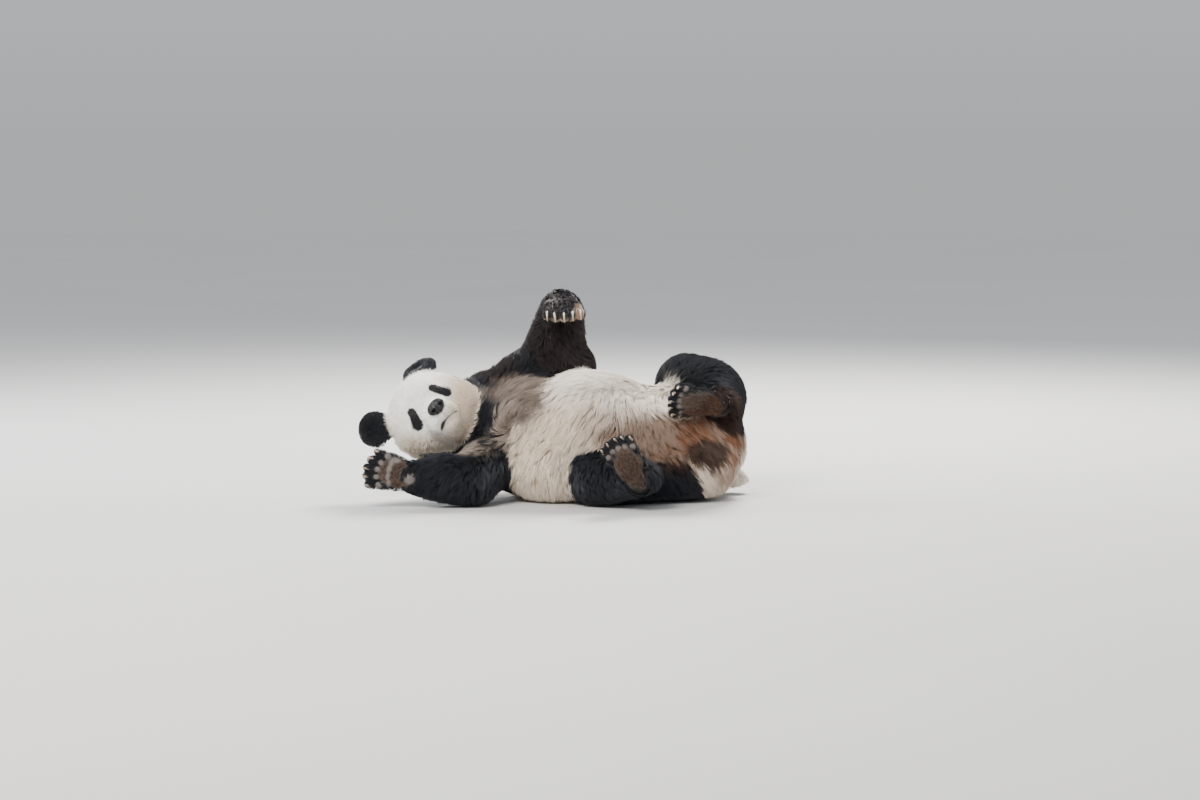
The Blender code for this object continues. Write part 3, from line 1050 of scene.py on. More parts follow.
def noseShader(tree):
    hollow = node(tree, "ShaderNodeAttribute", {"attribute_name": "hollow"}, [], "Fac")
    worn = noise(tree, placeOn(tree), noseLook["worn"], 3)
    colour = blend(tree, worn, *noseLook["colours"])
    return {
        # painted shade inside the nostrils
        "Base Color": blend(tree, hollow.held(), colour, noseLook["hollow"]),
        "Roughness": wornBy(worn, noseLook["rough"]),
        "Normal": pebbled(tree, *noseLook["pebbles"]),
    }


finishes["eye"] = makeMaterial("eye", eyeShader, Roughness=0.05, IOR=1.38)
finishes["nose"] = makeMaterial("nose", noseShader, Specular_IOR_Level=0.32, Coat_Weight=0.08,
                                Coat_Roughness=0.2)

makeEye("eyeLeft", "eye_left", eyeFrames[0])
makeEye("eyeRight", "eye_right", eyeFrames[1])
makeNose()
print("eyes and nose made")


# the markings lie over hide and coat alike
patches = {  # the black round the eyes
    "inner": (-0.0060, 0.0100),  # from the eye, outwards and up
    "outer": (0.0120, -0.0345),
    "radius": (0.0145, 0.0185),
    "edge": (-0.0020, 0.0012),
    "ragged": (0.0010, 420, 3),
    "forward": (0.03, 0.05),
    "within": 0.22,
    "headShare": 0.3,
}

stains = [  # colour, centre, half sizes, strength
    ("grey", (-0.150, -0.050, 0.370), (0.150, 0.230, 0.080), 1.0),
    ("grey", (-0.190, -0.100, 0.270), (0.065, 0.110, 0.170), 0.85),
    ("grey", (-0.275, -0.140, 0.200), (0.140, 0.090, 0.060), 0.85),
    ("black", (-0.285, -0.100, 0.270), (0.020, 0.080, 0.020), 1.0),
    ("black", (-0.258, -0.115, 0.245), (0.020, 0.080, 0.020), 1.0),
    ("black", (-0.232, -0.135, 0.218), (0.020, 0.080, 0.020), 1.0),
    ("black", (-0.210, -0.150, 0.190), (0.018, 0.080, 0.018), 0.8),
    ("rust", (0.525, -0.080, 0.240), (0.165, 0.180, 0.100), 1.0),
    ("black", (0.495, -0.110, 0.200), (0.080, 0.110, 0.052), 0.95),
    ("grey", (0.430, -0.060, 0.290), (0.090, 0.120, 0.050), 0.70),
    ("rust", (0.430, -0.060, 0.290), (0.090, 0.120, 0.050), 0.45),
    # painted shade: the next four stains darken the belly low down and towards the hip, where it
    # creases
    ("grey", (0.310, -0.140, 0.260), (0.160, 0.130, 0.085), 0.72),
    ("rust", (0.300, -0.150, 0.255), (0.150, 0.130, 0.085), 0.50),
    ("grey", (0.180, -0.150, 0.150), (0.190, 0.120, 0.120), 0.25),
    ("rust", (0.240, -0.130, 0.300), (0.160, 0.130, 0.070), 0.26),
    ("rust", (0.390, -0.190, 0.200), (0.120, 0.130, 0.085), 0.80),
    ("rust", (0.360, -0.130, 0.260), (0.130, 0.120, 0.080), 0.55),
    ("rust", (0.560, -0.030, 0.330), (0.100, 0.120, 0.070), 0.9),
    ("rust", (0.600, -0.100, 0.170), (0.080, 0.120, 0.090), 0.6),
    # painted sunlight: the raised forearm is browner, as black fur looks in the sun
    ("rust", (0.000, 0.190, 0.560), (0.160, 0.160, 0.170), 0.45),
    # painted backlight: the next two rust stains and the matching pale ones below give the raised paw
    # a tan fringe
    ("rust", (0.088, 0.080, 0.655), (0.034, 0.090, 0.045), 0.75),
    ("rust", (0.010, 0.045, 0.628), (0.085, 0.035, 0.018), 0.6),
    ("rust", (-0.230, 0.190, 0.400), (0.120, 0.120, 0.120), 0.35),
    ("pale", (-0.290, -0.140, 0.215), (0.120, 0.080, 0.045), 0.9),
    ("pale", (0.370, 0.060, 0.400), (0.055, 0.110, 0.110), 0.8),
    ("pale", (-0.150, -0.060, 0.365), (0.120, 0.200, 0.075), 0.9),
    # painted backlight: these two clear the black for the raised paw's tan fringe
    ("pale", (0.088, 0.080, 0.655), (0.032, 0.090, 0.043), 1.0),
    ("pale", (0.010, 0.045, 0.628), (0.080, 0.035, 0.016), 0.7),
    ("pale", (0.410, -0.170, 0.215), (0.170, 0.110, 0.060), 0.9),
]

blackness = {name: 0.0 if name in ("trunk", "head", "tail") else 1.0 for name in groupNames}

shades = {
    "border": (0.40, 0.60),
    "ragged": [(0.10, 60, 1), (0.06, 170, 2)],  # of a border: how much, how fine, its seed
    "stainEdge": (0.72, 1.18),
    "stainRagged": [(0.14, 70, 5), (0.08, 190, 9)],
    "sole": {"pale": 0.50, "rust": 0.55, "grey": 0.90},
    "soleForm": (0.92, 0.42, 0.62),  # half width, middle and half length, against the palm
    "soleEdge": (0.75, 1.1),
    "soleRagged": (0.12, 160, 7),
    "soleBelow": (0.004, 0.016),
    "ofPaw": (0.3, 0.6),  # a point's share of the paw, from which a sole's colour fades in
    "cheekLean": (0.55, 0.35),  # more buff on the head's left, and to both sides
    "cheek": (0.03, 0.16),  # the head's cream turns buff from here to there
    "ruff": (0.18, 0.27),  # height of the head's lowest fur, which is buff, and greyer as painted shade under the head
    "buffCheek": 0.85,
    "bodyWhite": 0.17,
    "top": {  # painted sunlight: whiter along the top of the belly
        "white": 0.35,
        "height": 0.40,
        "across": (0.05, 0.3),  # its middle, and how much going across counts against height
        "edge": (0.03, 0.16),
        "from": (-0.05, 0.08),  # along the body
    },
    "rumpWhite": 0.30,
    "rump": (0.56, 0.66),
    # grey round the nose and mouth: partly the muzzle's greyer whisker fur, partly painted shade of
    # the jutting muzzle
    "muzzle": ((0, 0.16, -0.075), 0.012, 0.045),
    "muzzleShade": 0.30,
    # painted shade under the head, on its lowest fur
    "ruffShade": 0.16,
    "cheekRust": 0.10,
}


waver = {"waves": 4, "finer": 0.45, "shift": 1.7}  # each wave finer than the last, and shifted


def ripple(points, scale, seed):
    # a cheap smooth waver, from -1 to 1
    total = np.zeros(len(points))
    for k in range(waver["waves"]):
        turn = np.random.default_rng(seed + k).normal(size=3)
        fine = scale * (1 + waver["finer"] * k)
        total += np.sin(points @ (turn / np.linalg.norm(turn)) * fine + k * waver["shift"])
    return total / waver["waves"]


def ragged(points, ripples):
    return sum(amount * ripple(points, scale, seed) for amount, scale, seed in ripples)


def inStain(points, centre, half):
    away = np.linalg.norm((points - np.array(centre)) / np.array(half), axis=1)
    return 1 - ease(away + ragged(points, shades["stainRagged"]), *shades["stainEdge"])


def segmentAway(p, a, b):
    a, b = np.array(a), np.array(b)
    share = np.clip((p - a) @ (b - a) / (b - a).dot(b - a), 0, 1)
    return np.linalg.norm(p - a - np.outer(share, b - a), axis=1), share


def eyePatch(points):
    q = toHead(points)
    found = np.zeros(len(q))
    low, high = patches["radius"]
    for side in (1, -1):
        x, _, z = eyeSpot(side)
        ends = [(x + side * out, z + up) for out, up in (patches["inner"], patches["outer"])]
        away, share = segmentAway(q[:, [0, 2]], *ends)
        away += ragged(q, [patches["ragged"]]) - low - (high - low) * share
        found = np.maximum(found, 1 - ease(away, *patches["edge"]))
    found *= ease(q[:, 1], *patches["forward"])
    return found * (np.linalg.norm(q, axis=1) < patches["within"])


def soleShare(points, paw):
    # brown fur over the middle of a sole, inside a black rim
    q = toPaw(paw, points)
    width, length, _ = paw["size"]["palm"]
    wide, middle, half = shades["soleForm"]
    inside = np.hypot(q[:, 0] / (width * wide), (q[:, 1] - length * middle) / (length * half))
    inside += ragged(points, [shades["soleRagged"]])
    return (1 - ease(inside, *shades["soleEdge"])) * ease(-q[:, 2], *shades["soleBelow"])


# painted sunlight along the top of the belly
def sunlitTop(points):
    top = shades["top"]
    middle, share = top["across"]
    away = np.abs(points[:, 2] - top["height"]) + share * np.abs(points[:, 1] - middle)
    return top["white"] * (1 - ease(away, *top["edge"])) * ease(points[:, 0], *top["from"])


def markings(points, weights):
    # four columns: black, rust, grey, and how much cream is left white
    black = perGroup(blackness, weights) + ragged(points, shades["ragged"])
    black = ease(black, *shades["border"])
    marks = {name: np.zeros(len(points)) for name in ("black", "rust", "grey", "pale")}
    for colour, centre, half, strength in stains:
        marks[colour] = np.maximum(marks[colour], strength * inStain(points, centre, half))
    for name, paw in paws.items():
        sole = soleShare(points, paw) * ease(shareOf(weights, name), *shades["ofPaw"])
        for colour, strength in shades["sole"].items():
            marks[colour] = np.maximum(marks[colour], strength * sole)
    black = np.maximum(black * (1 - marks["pale"]), marks["black"])
    head = shareOf(weights, "head")
    body = 1 - head
    black = np.maximum(black, eyePatch(points) * (head > patches["headShare"]))
    q = toHead(points)
    lean, sides = shades["cheekLean"]
    low = ease(q[:, 0] * lean - q[:, 2] + sides * np.abs(q[:, 0]), *shades["cheek"])
    ruff = head * (1 - ease(points[:, 2], *shades["ruff"]))
    low = np.maximum(low, ruff)
    white = head * (1.0 - shades["buffCheek"] * low) + body * shades["bodyWhite"]
    white += body * sunlitTop(points)
    white += body * shades["rumpWhite"] * ease(points[:, 0], *shades["rump"])
    place, near, far = shades["muzzle"]
    muzzle = head * (1 - ease(np.linalg.norm(q - np.array(place), axis=1), near, far))
    # the muzzle's grey is partly painted shade
    grey = np.maximum(marks["grey"] * body, shades["muzzleShade"] * muzzle)
    # painted shade: the head's lowest fur is greyer
    grey = np.maximum(grey, shades["ruffShade"] * ruff)
    rust = np.maximum(marks["rust"], shades["cheekRust"] * head * low)
    return np.column_stack((black, rust, grey, np.clip(white, 0, 1)))


palmPads = [  # of a forepaw: across, towards the toes, half sizes and height of the dome
    ((-0.008, 0.000), (0.0185, 0.0175), 0.0065),
    ((0.043, 0.058), (0.0110, 0.0175), 0.0040),
    ((-0.038, 0.063), (0.0150, 0.0095), 0.0045),
    ((-0.015, 0.071), (0.0160, 0.0095), 0.0050),
    ((0.008, 0.073), (0.0160, 0.0095), 0.0050),
    ((0.030, 0.068), (0.0150, 0.0095), 0.0045),
]

pads = {
    "toe": (0.0104, 0.0122, 0.0056),
    "along": 0.28,  # where a pad sits on its toe
    "sunk": 0.25,  # of its height
    "hairless": 1.15,  # how far the coat stays off a pad, against its size
    "edge": (0.8, 1.15),
    "behind": 0.12,  # a line towards a pad starts this far off
    "reach": 0.2,
    "within": 0.08,
    "bare": 0.8,  # how much of a pad's colour the skin under it takes
    "round": (28, 18),
}

claws = {
    "around": 16,
    "along": 18,
    "narrow": 0.72,
    "taper": (1.6, 0.75),
    "tip": 0.00025,
    "rootPoints": 8,
    "straight": 0.5,  # how much of a claw's lean to the side is taken out
    "sets": {  # root back and below, radius, length, first and last turn towards the sole
        "pawLeft": (0.006, 0.000, 0.0054, 0.048, -12, 70),
        "pawRight": (0.014, 0.011, 0.0062, 0.044, 22, 88),
        "footLeft": (0.013, 0.010, 0.0056, 0.041, 22, 88),
        "footRight": (0.013, 0.010, 0.0056, 0.041, 22, 88),
    },
}

whiskerLook = {
    "count": 26,
    "seed": 4,
    "length": (0.018, 0.036),
    "radius": 0.00028,
    "thinner": 0.85,
    "out": (0.016, 0.040),
    "up": (-0.090, -0.058),
    "from": 0.3,  # a line back to the muzzle starts this far ahead
    "reach": 0.4,
    "way": (0.9, 0.55, (-0.7, 0.1)),
    "droop": 0.25,
    "points": 7,
    "around": 5,
    "grain": 200,
    "colours": ((0.02, 0.018, 0.016), (0.10, 0.085, 0.07)),
}


def padSpots(paw):
    # every pad: across and along, half sizes, height
    for (x, y), half, rise in palmPads[len(palmPads) - paw["palmPads"]:]:
        yield (x * paw["first"], y), half, rise
    for root, tip in toesOf(paw):
        toe = root + (tip - root) * pads["along"]
        yield tuple(toe[:2]), pads["toe"][:2], pads["toe"][2]


def padOn(tree, paw, spot):
    # where a line through the paw from its palm side meets the skin
    start = Vector(fromPaw(paw, (*spot, -pads["behind"])))
    hit = tree.ray_cast(start, Vector(paw["axes"][2]), pads["reach"])
    return (np.array(hit[0]), np.array(hit[1])) if hit[0] else (None, None)


def makePads(name, paw, tree):
    # low domes, sunk at the rim
    whole = bmesh.new()
    ball = roundMesh(*pads["round"])
    for spot, half, rise in padSpots(paw):
        place, out = padOn(tree, paw, spot)
        if place is None:
            continue
        across = unit(paw["axes"][0] - out * out.dot(paw["axes"][0]))
        turn = (across, np.cross(out, across), out)
        addBall(whole, ball, place - out * rise * pads["sunk"], (*half, rise), turn)
    mesh = meshOf(whole, name + "Pads", smooth=True)
    return finishPiece(newObject(name + "Pads", mesh), "pad", "black_coat")


def nearPads(points):
    # the share of each point of the skin that a pad covers
    found = np.zeros(len(points))
    for paw in paws.values():
        q = toPaw(paw, points)
        below = (q[:, 2] < 0) & (q[:, 2] > -pads["within"])
        for (x, y), half, _ in padSpots(paw):
            size = np.array(half) * pads["hairless"]
            away = np.hypot((q[:, 0] - x) / size[0], (q[:, 1] - y) / size[1])
            found = np.maximum(found, (1 - ease(away, *pads["edge"])) * below)
    return found


def bentTube(bm, centres, ups, radii, narrow, around):
    # a closed tapering tube along a bent line
    centres = np.asarray(centres)
    heading = unit(np.gradient(centres, axis=0))
    rings = []
    for place, ahead, up, radius in zip(centres, heading, ups, radii):
        side = unit(np.cross(ahead, up))
        rise = np.cross(side, ahead)
        turn = np.linspace(0, math.tau, around, endpoint=False)
        ring = place + radius * (np.outer(np.cos(turn) * narrow, side) + np.outer(np.sin(turn), rise))
        rings.append([bm.verts.new(p) for p in ring])
    for low, high in zip(rings, rings[1:]):
        for k in range(around):
            j = (k + 1) % around
            bm.faces.new((low[k], low[j], high[j], high[k]))
    bm.faces.new(rings[0][::-1])
    bm.faces.new(rings[-1])


def makeClaws(name, paw):
    # each curved and tapering, from the root of the solid that it replaces
    back, below, radius, length, first, last = claws["sets"][name]
    side, _, up = paw["axes"]
    share = np.linspace(0, 1, claws["along"])
    turn = np.radians(first + (last - first) * share)
    bend, fine = claws["taper"]
    radii = radius * (1 - share**bend) ** fine + claws["tip"]
    whole = bmesh.new()
    replaced = [f"{paw['solid']}_claw_{i + 1}" for i in range(toes["count"])]
    for claw in replaced:
        points = pointsOf(nodes[claw].data)
        order = np.argsort(toPaw(paw, points)[:, 1])
        root, tip = points[order[:claws["rootPoints"]]].mean(0), points[order[-1]]
        ahead = unit(tip - root - side * side.dot(tip - root) * claws["straight"])
        ahead = unit(ahead - up * up.dot(ahead))
        step = np.outer(np.cos(turn), ahead) - np.outer(np.sin(turn), up)
        line = np.cumsum(step, axis=0) * length / claws["along"]
        line += root - ahead * back - up * below
        ups = np.outer(np.cos(turn), up) + np.outer(np.sin(turn), ahead)
        bentTube(whole, line, ups, radii, claws["narrow"], claws["around"])
    bmesh.ops.recalc_face_normals(whole, faces=whole.faces)
    mesh = meshOf(whole, name + "Claws", smooth=True)
    return finishPiece(newObject(name + "Claws", mesh), "claw", "claw_horn", *replaced)


def makeWhiskers(tree):
    # stiff hairs from the sides of the muzzle
    look = whiskerLook
    whole = bmesh.new()
    rng = np.random.default_rng(look["seed"])
    share = np.linspace(0, 1, look["points"])
    radii = look["radius"] * (1 - look["thinner"] * share)
    droop = -headAxes[2] * look["droop"]
    out, forward, up = look["way"]
    for i in range(look["count"]):
        side = 1 if i % 2 else -1
        across = side * rng.uniform(*look["out"])
        start = fromHead((across, look["from"], rng.uniform(*look["up"])))
        hit = tree.ray_cast(Vector(start), Vector(-headAxes[1]), look["reach"])
        if not hit[0]:
            continue
        length = rng.uniform(*look["length"])
        ahead = unit(headAxes.T @ np.array((side * out, forward, rng.uniform(*up))))
        line = np.array(hit[0]) + length * (np.outer(share, ahead) + np.outer(share**2, droop))
        bentTube(whole, line, [headAxes[1]] * len(share), radii, 1, look["around"])
    bmesh.ops.recalc_face_normals(whole, faces=whole.faces)
    mesh = meshOf(whole, "whiskers", smooth=True)
    return finishPiece(newObject("whiskers", mesh), "whisker", "nose_skin")


padLook = {
    "worn": 70,
    "colours": ((0.060, 0.050, 0.046), (0.21, 0.18, 0.16)),
    "rough": (0.62, 0.2),
    "pebbles": (520, 0.0010, 0.8),
}

clawLook = {
    "grain": (130, 4, (1, 1, 0.3)),  # how fine, how detailed, how it is stretched
    "colours": ((0.20, 0.14, 0.09), (0.66, 0.55, 0.42)),
    "rough": (0.34, 0.2),
    "relief": (0.0006, 0.5),
}


def padShader(tree):
    worn = noise(tree, placeOn(tree), padLook["worn"], 3)
    return {
        "Base Color": blend(tree, worn, *padLook["colours"]),
        "Roughness": wornBy(worn, padLook["rough"]),
        "Normal": pebbled(tree, *padLook["pebbles"]),
    }


def clawShader(tree):
    grain = noise(tree, placeOn(tree), *clawLook["grain"])
    return {
        "Base Color": blend(tree, grain, *clawLook["colours"]),
        "Roughness": wornBy(grain, clawLook["rough"]),
        "Normal": bump(tree, grain, *clawLook["relief"]),
    }


def whiskerShader(tree):
    grain = noise(tree, placeOn(tree), whiskerLook["grain"], 2)
    return {"Base Color": blend(tree, grain, *whiskerLook["colours"])}


finishes["pad"] = makeMaterial("pad", padShader)
finishes["claw"] = makeMaterial("claw", clawShader, Coat_Weight=0.15, Coat_Roughness=0.3)
finishes["whisker"] = makeMaterial("whisker", whiskerShader, Roughness=0.4)

skinTree = BVHTree.FromPolygons(
    [v.co for v in skinMesh.vertices], [tuple(p.vertices) for p in skinMesh.polygons]
)
for name, paw in paws.items():
    makePads(name, paw, skinTree)
    makeClaws(name, paw)
makeWhiskers(skinTree)
print("pads, claws and whiskers made")


def keepColour(mesh, name, columns):
    # three numbers to a point, and a fourth that stays 1
    values = np.ones((len(mesh.vertices), 4), np.float32)
    values[:, : columns.shape[1]] = columns
    mesh.attributes.new(name, "FLOAT_COLOR", "POINT").data.foreach_set("color", values.ravel())


skinPoints = pointsOf(skinMesh)
skinMarks = markings(skinPoints, facts[:, :-1])
padShare = nearPads(skinPoints)
keepColour(skinMesh, "marks", skinMarks[:, :3])
skinBare = np.column_stack((bareLips, padShare * pads["bare"], skinMarks[:, 3]))
keepColour(skinMesh, "bare", skinBare)
skinMesh.shade_smooth()
skinMesh.materials.clear()
flesh = [solid for solids in groups.values() for solid in solids]
finishPiece(newObject("skin", skinMesh), "skin", "white_coat", *flesh)
print("skin made")


combs = [  # where, which way the hair lies, how far the comb reaches
    ((-0.15, 0.02, 0.43), (0.50, 0.05, 0.75), 0.10),
    ((-0.21, -0.05, 0.34), (0.40, -0.10, 0.85), 0.07),
    ((-0.26, -0.07, 0.32), (0.20, -0.05, 0.95), 0.06),
    ((-0.22, -0.10, 0.27), (0.15, -0.10, 0.90), 0.05),
    ((-0.18, -0.13, 0.22), (-0.80, -0.25, -0.35), 0.05),
    ((-0.27, -0.13, 0.22), (-0.45, -0.25, -0.90), 0.05),
    ((-0.22, -0.16, 0.18), (-0.45, -0.30, -0.85), 0.06),
    ((-0.06, -0.08, 0.38), (-0.75, -0.25, -0.45), 0.07),
    ((0.02, -0.14, 0.32), (-0.65, -0.30, -0.70), 0.10),
    ((0.14, -0.16, 0.28), (-0.42, -0.30, -0.85), 0.10),
    ((0.27, -0.16, 0.26), (-0.15, -0.30, -0.95), 0.09),
    ((-0.10, -0.17, 0.18), (-0.35, -0.20, -0.90), 0.10),
    ((0.05, -0.20, 0.08), (-0.15, -0.20, -1.00), 0.12),
    ((0.05, 0.04, 0.44), (-0.90, -0.35, 0.00), 0.10),
    ((0.16, 0.04, 0.43), (-0.90, -0.30, 0.05), 0.08),
    ((0.26, 0.02, 0.40), (-0.80, -0.50, -0.20), 0.06),
    ((0.33, 0.00, 0.38), (-0.65, -0.65, -0.40), 0.06),
    ((0.35, -0.05, 0.33), (0.50, -0.30, -0.40), 0.05),
    ((0.15, 0.14, 0.42), (-0.90, 0.40, 0.00), 0.08),
    ((0.29, 0.10, 0.41), (-0.60, -0.70, 0.20), 0.07),
    ((0.14, 0.23, 0.37), (0.00, 0.60, -0.80), 0.08),
    ((0.28, 0.22, 0.33), (0.10, -0.60, 0.60), 0.08),
    ((0.24, 0.32, 0.20), (0.50, 0.20, 0.60), 0.08),
    ((0.39, 0.05, 0.38), (-0.40, -0.80, 0.10), 0.05),
    ((0.36, -0.10, 0.30), (0.50, -0.30, -0.60), 0.09),
    ((0.48, -0.12, 0.24), (0.45, -0.20, -0.70), 0.10),
    ((0.60, -0.05, 0.22), (0.55, -0.20, -0.70), 0.10),
    ((0.66, 0.10, 0.15), (0.30, 0.20, -0.90), 0.12),
    ((0.10, 0.26, 0.25), (0.85, 0.25, -0.45), 0.25),
    ((-0.15, 0.28, 0.25), (0.70, 0.30, -0.60), 0.15),
    ((-0.28, -0.16, 0.20), (-0.60, -0.30, -0.70), 0.07),
    ((-0.36, -0.24, 0.17), (-1.00, -0.10, -0.20), 0.07),
    ((-0.36, -0.28, 0.08), (-0.35, -0.15, -1.00), 0.08),
    ((-0.23, -0.24, 0.09), (0.00, -0.15, -1.00), 0.09),
    ((-0.28, 0.14, 0.42), (-0.10, -0.05, 1.00), 0.10),
    ((-0.12, 0.20, 0.46), (-0.45, 0.00, 0.80), 0.08),
    ((0.00, 0.14, 0.50), (0.15, -0.25, -0.75), 0.10),
    ((0.10, 0.24, 0.50), (0.90, 0.30, -0.10), 0.07),
    ((-0.08, 0.24, 0.58), (-0.40, 0.70, 0.20), 0.07),
    ((0.00, 0.31, 0.56), (0.10, 0.10, 1.00), 0.07),
    ((0.01, 0.27, 0.66), (0.05, -0.30, 1.00), 0.06),
    ((0.01, 0.20, 0.72), (0.10, -1.00, 0.00), 0.06),
    ((0.42, 0.24, 0.46), (0.30, 0.20, 0.60), 0.08),
    ((0.55, 0.20, 0.46), (0.60, 0.10, 0.15), 0.09),
    ((0.63, 0.12, 0.36), (0.35, -0.20, -0.75), 0.09),
    ((0.45, -0.04, 0.33), (0.35, -0.30, -0.80), 0.07),
    ((0.30, -0.20, 0.08), (0.50, -0.40, -0.60), 0.10),
    ((0.16, -0.18, 0.09), (0.10, -0.60, -0.60), 0.08),
]

usualWay = np.array((0.75, 0.10, -0.40))  # where no comb reaches

lies = {
    "usual": 0.02,
    "fromNose": (0, 0.150, -0.050),  # the head's hair lies away from here
    "overHead": (0.30, -0.10, 0.05),  # how far that place moves back, from here to there
    "hanging": (0.235, 0.06, (0.15, -0.35, -1.2)),  # below this height, over this much, this way
    "tail": (0.70, 0.02, -0.70),
    "border": (0.25, 0.75),
    "fan": 0.2,  # of the hair away from a wrist
}


def lieOfCoat(points, weights):
    way = np.tile(usualWay * lies["usual"], (len(points), 1))
    for place, direction, reach in combs:
        near = np.exp(-((np.linalg.norm(points - np.array(place), axis=1) / reach) ** 2))
        way += near[:, None] * unit(direction)
    way = unit(way)
    shares = dict(zip(groupNames, weights.T))
    q = toHead(points)
    fromNose = q - np.array(lies["fromNose"])
    back, low, high = lies["overHead"]
    fromNose[:, 1] -= back * ease(-q[:, 1], low, high)
    height, deep, down = lies["hanging"]
    hanging = ease(height - points[:, 2], 0.0, deep)[:, None]
    way = mixWay(way, unit(fromNose) @ headAxes + hanging * np.array(down), shares["head"])
    way = mixWay(way, np.tile(lies["tail"], (len(points), 1)), shares["tail"])
    for name in ears["sizes"]:
        way = mixWay(way, unit(points - earRoot(name, ears["lieRoot"])), shares[name])
    for name, paw in paws.items():
        along = paw["axes"][1] * paw.get("straight", 1) + np.array(paw.get("hang", (0, 0, 0)))
        fan = unit(points - np.array(paw["wrist"]))
        way = mixWay(way, along + lies["fan"] * fan, shares[name])
    return way


def mixWay(way, other, share):
    share = ease(share, *lies["border"])[:, None]
    return unit(way * (1 - share) + unit(other) * share)


coats = {  # length, width, locks to a square metre
    "trunk": (0.072, 0.0028, 62500),
    "neck": (0.056, 0.0028, 60000),
    "head": (0.014, 0.0014, 172000),
    "earLeft": (0.013, 0.0019, 130000),
    "earRight": (0.013, 0.0019, 130000),
    "foreLeft": (0.046, 0.0027, 62000),
    "foreRight": (0.048, 0.0027, 62000),
    "hindLeft": (0.040, 0.0028, 52000),
    "hindRight": (0.044, 0.0029, 48000),
    "pawLeft": (0.038, 0.0024, 75000),
    "pawRight": (0.015, 0.0018, 105000),
    "footLeft": (0.018, 0.0019, 95000),
    "footRight": (0.017, 0.0018, 95000),
    "tail": (0.030, 0.0026, 85000),
}

coatPieces = {  # the groups whose coat is one family of pieces
    "coatTrunk": ["trunk", "tail", "neck"],
    "coatHead": ["head"],
    "coatEars": ["earLeft", "earRight"],
    "coatForeLeft": ["foreLeft", "pawLeft"],
    "coatForeRight": ["foreRight", "pawRight"],
    "coatHindLeft": ["hindLeft", "footLeft"],
    "coatHindRight": ["hindRight", "footRight"],
}

locks = {
    "seed": 11,
    "mostFaces": 195000,  # triangles to a piece
    "lengths": (0.72, 1.15),  # the shortest and longest, against the usual
    "clump": 14,  # locks that lean together
    "pull": (0.35, 0.85),
    "pullBend": 1.4,  # above 1 the tips lean together more than the roots
    "pullEase": (2.2, 4.5),  # distance from the leader at which the pull fades, in widths
    "waver": 0.22,  # of the direction, in radians
    "ownWaver": 0.5,  # of a single lock, against its clump's
    "swirl": (0.35, 32, 21),  # how much, how fine, its seed
    "rise": (0.75, 1.05),  # of a tip, against the depth of the coat
    "steepest": 0.5,  # rise against length
    "least": 0.3,  # run against length
    "along": 1.2,  # how much a lock keeps its way, against the lie of the coat further on
    "sunk": 0.0015,
    "girth": (1.0, 0.85),  # of a lock's rings, before its tip
    "stages": (0, 0.55, 1),
    "arch": 0.6,
    "flat": 0.7,
    "toneShares": (0.62, 0.38),  # of the clump and of the lock itself
    "colourAt": (0, 0.8, 1),  # how far along the rings and the tip count for colour and for the painted root shade
    "patch": 0.0030,  # size of a lock's place in the OFBake map
    "patchParts": (0.15, 0.70, 0.12),  # where the sides start, their reach, where the root ends
    "margin": 0.0005,
    "unwrap": {"angle_limit": 1.15, "island_margin": 0.002},
    "lowest": 0.0012,
    "bare": (0.35, 0.6),  # no locks where the skin is barer than this
    "underfoot": 0.45,  # share of the locks kept where the model lies on the floor
    "lying": (0.004, 0.03),  # from the skin's lowest to clear of the floor
    "evenLie": 12,
    "evenNormals": 4,
}

standing = [  # where the coat stands out more or less: centre, half sizes, how much
    ((-0.230, 0.140, 0.420), (0.120, 0.120, 0.080), 0.55),
    ((0.105, 0.240, 0.500), (0.050, 0.090, 0.130), 0.45),
    ((0.330, 0.000, 0.390), (0.090, 0.080, 0.060), -0.40),
    ((-0.330, -0.270, 0.050), (0.200, 0.110, 0.075), 0.45),
    ((0.480, 0.200, 0.470), (0.130, 0.130, 0.060), 0.30),
    ((-0.470, -0.010, 0.180), (0.150, 0.170, 0.055), 2.00),
    ((0.680, 0.190, 0.045), (0.050, 0.070, 0.060), -0.50),
]

clipped = [  # where the coat stays short: centre, half sizes, length
    ((-0.485, -0.260, 0.100), (0.065, 0.060, 0.065), 0.013),
    ((0.430, -0.100, 0.290), (0.070, 0.060, 0.035), 0.028),
]

faceHair = {  # length, and how much longer from here to there
    "nose": (0, 0.155, -0.050),
    "least": 0.0042,
    "snout": (0.0060, 0.02, 0.13),
    "crown": (0.011, 0.14, 0.26),
    "chin": (0.016, 0.08, 0.15),
    "ruff": (0.026, 0.0, 0.05),
    "ruffHeight": 0.225,
    "lids": (0.0035, 0.014, 0.040),
    "bareNose": ((0.036, 0.03, 0.024), (0.9, 1.05)),
}


def fromCoats(column, weights):
    return perGroup({name: look[column] for name, look in coats.items()}, weights)


def faceLength(points, lengths, headShare):
    # hair over the head, shortest by the nose and eyes and longest on the cheeks
    q = toHead(points)
    fromNose = np.linalg.norm(q - np.array(faceHair["nose"]), axis=1)
    size = faceHair["least"] + growing(fromNose, faceHair["snout"])
    size += growing(fromNose, faceHair["crown"])
    size += growing(-q[:, 2], faceHair["chin"]) * ease(fromNose, *faceHair["chin"][1:])
    size += growing(faceHair["ruffHeight"] - points[:, 2], faceHair["ruff"])
    size = byEyes(size, q, *faceHair["lids"])
    return lengths * (1 - headShare) + size * headShare


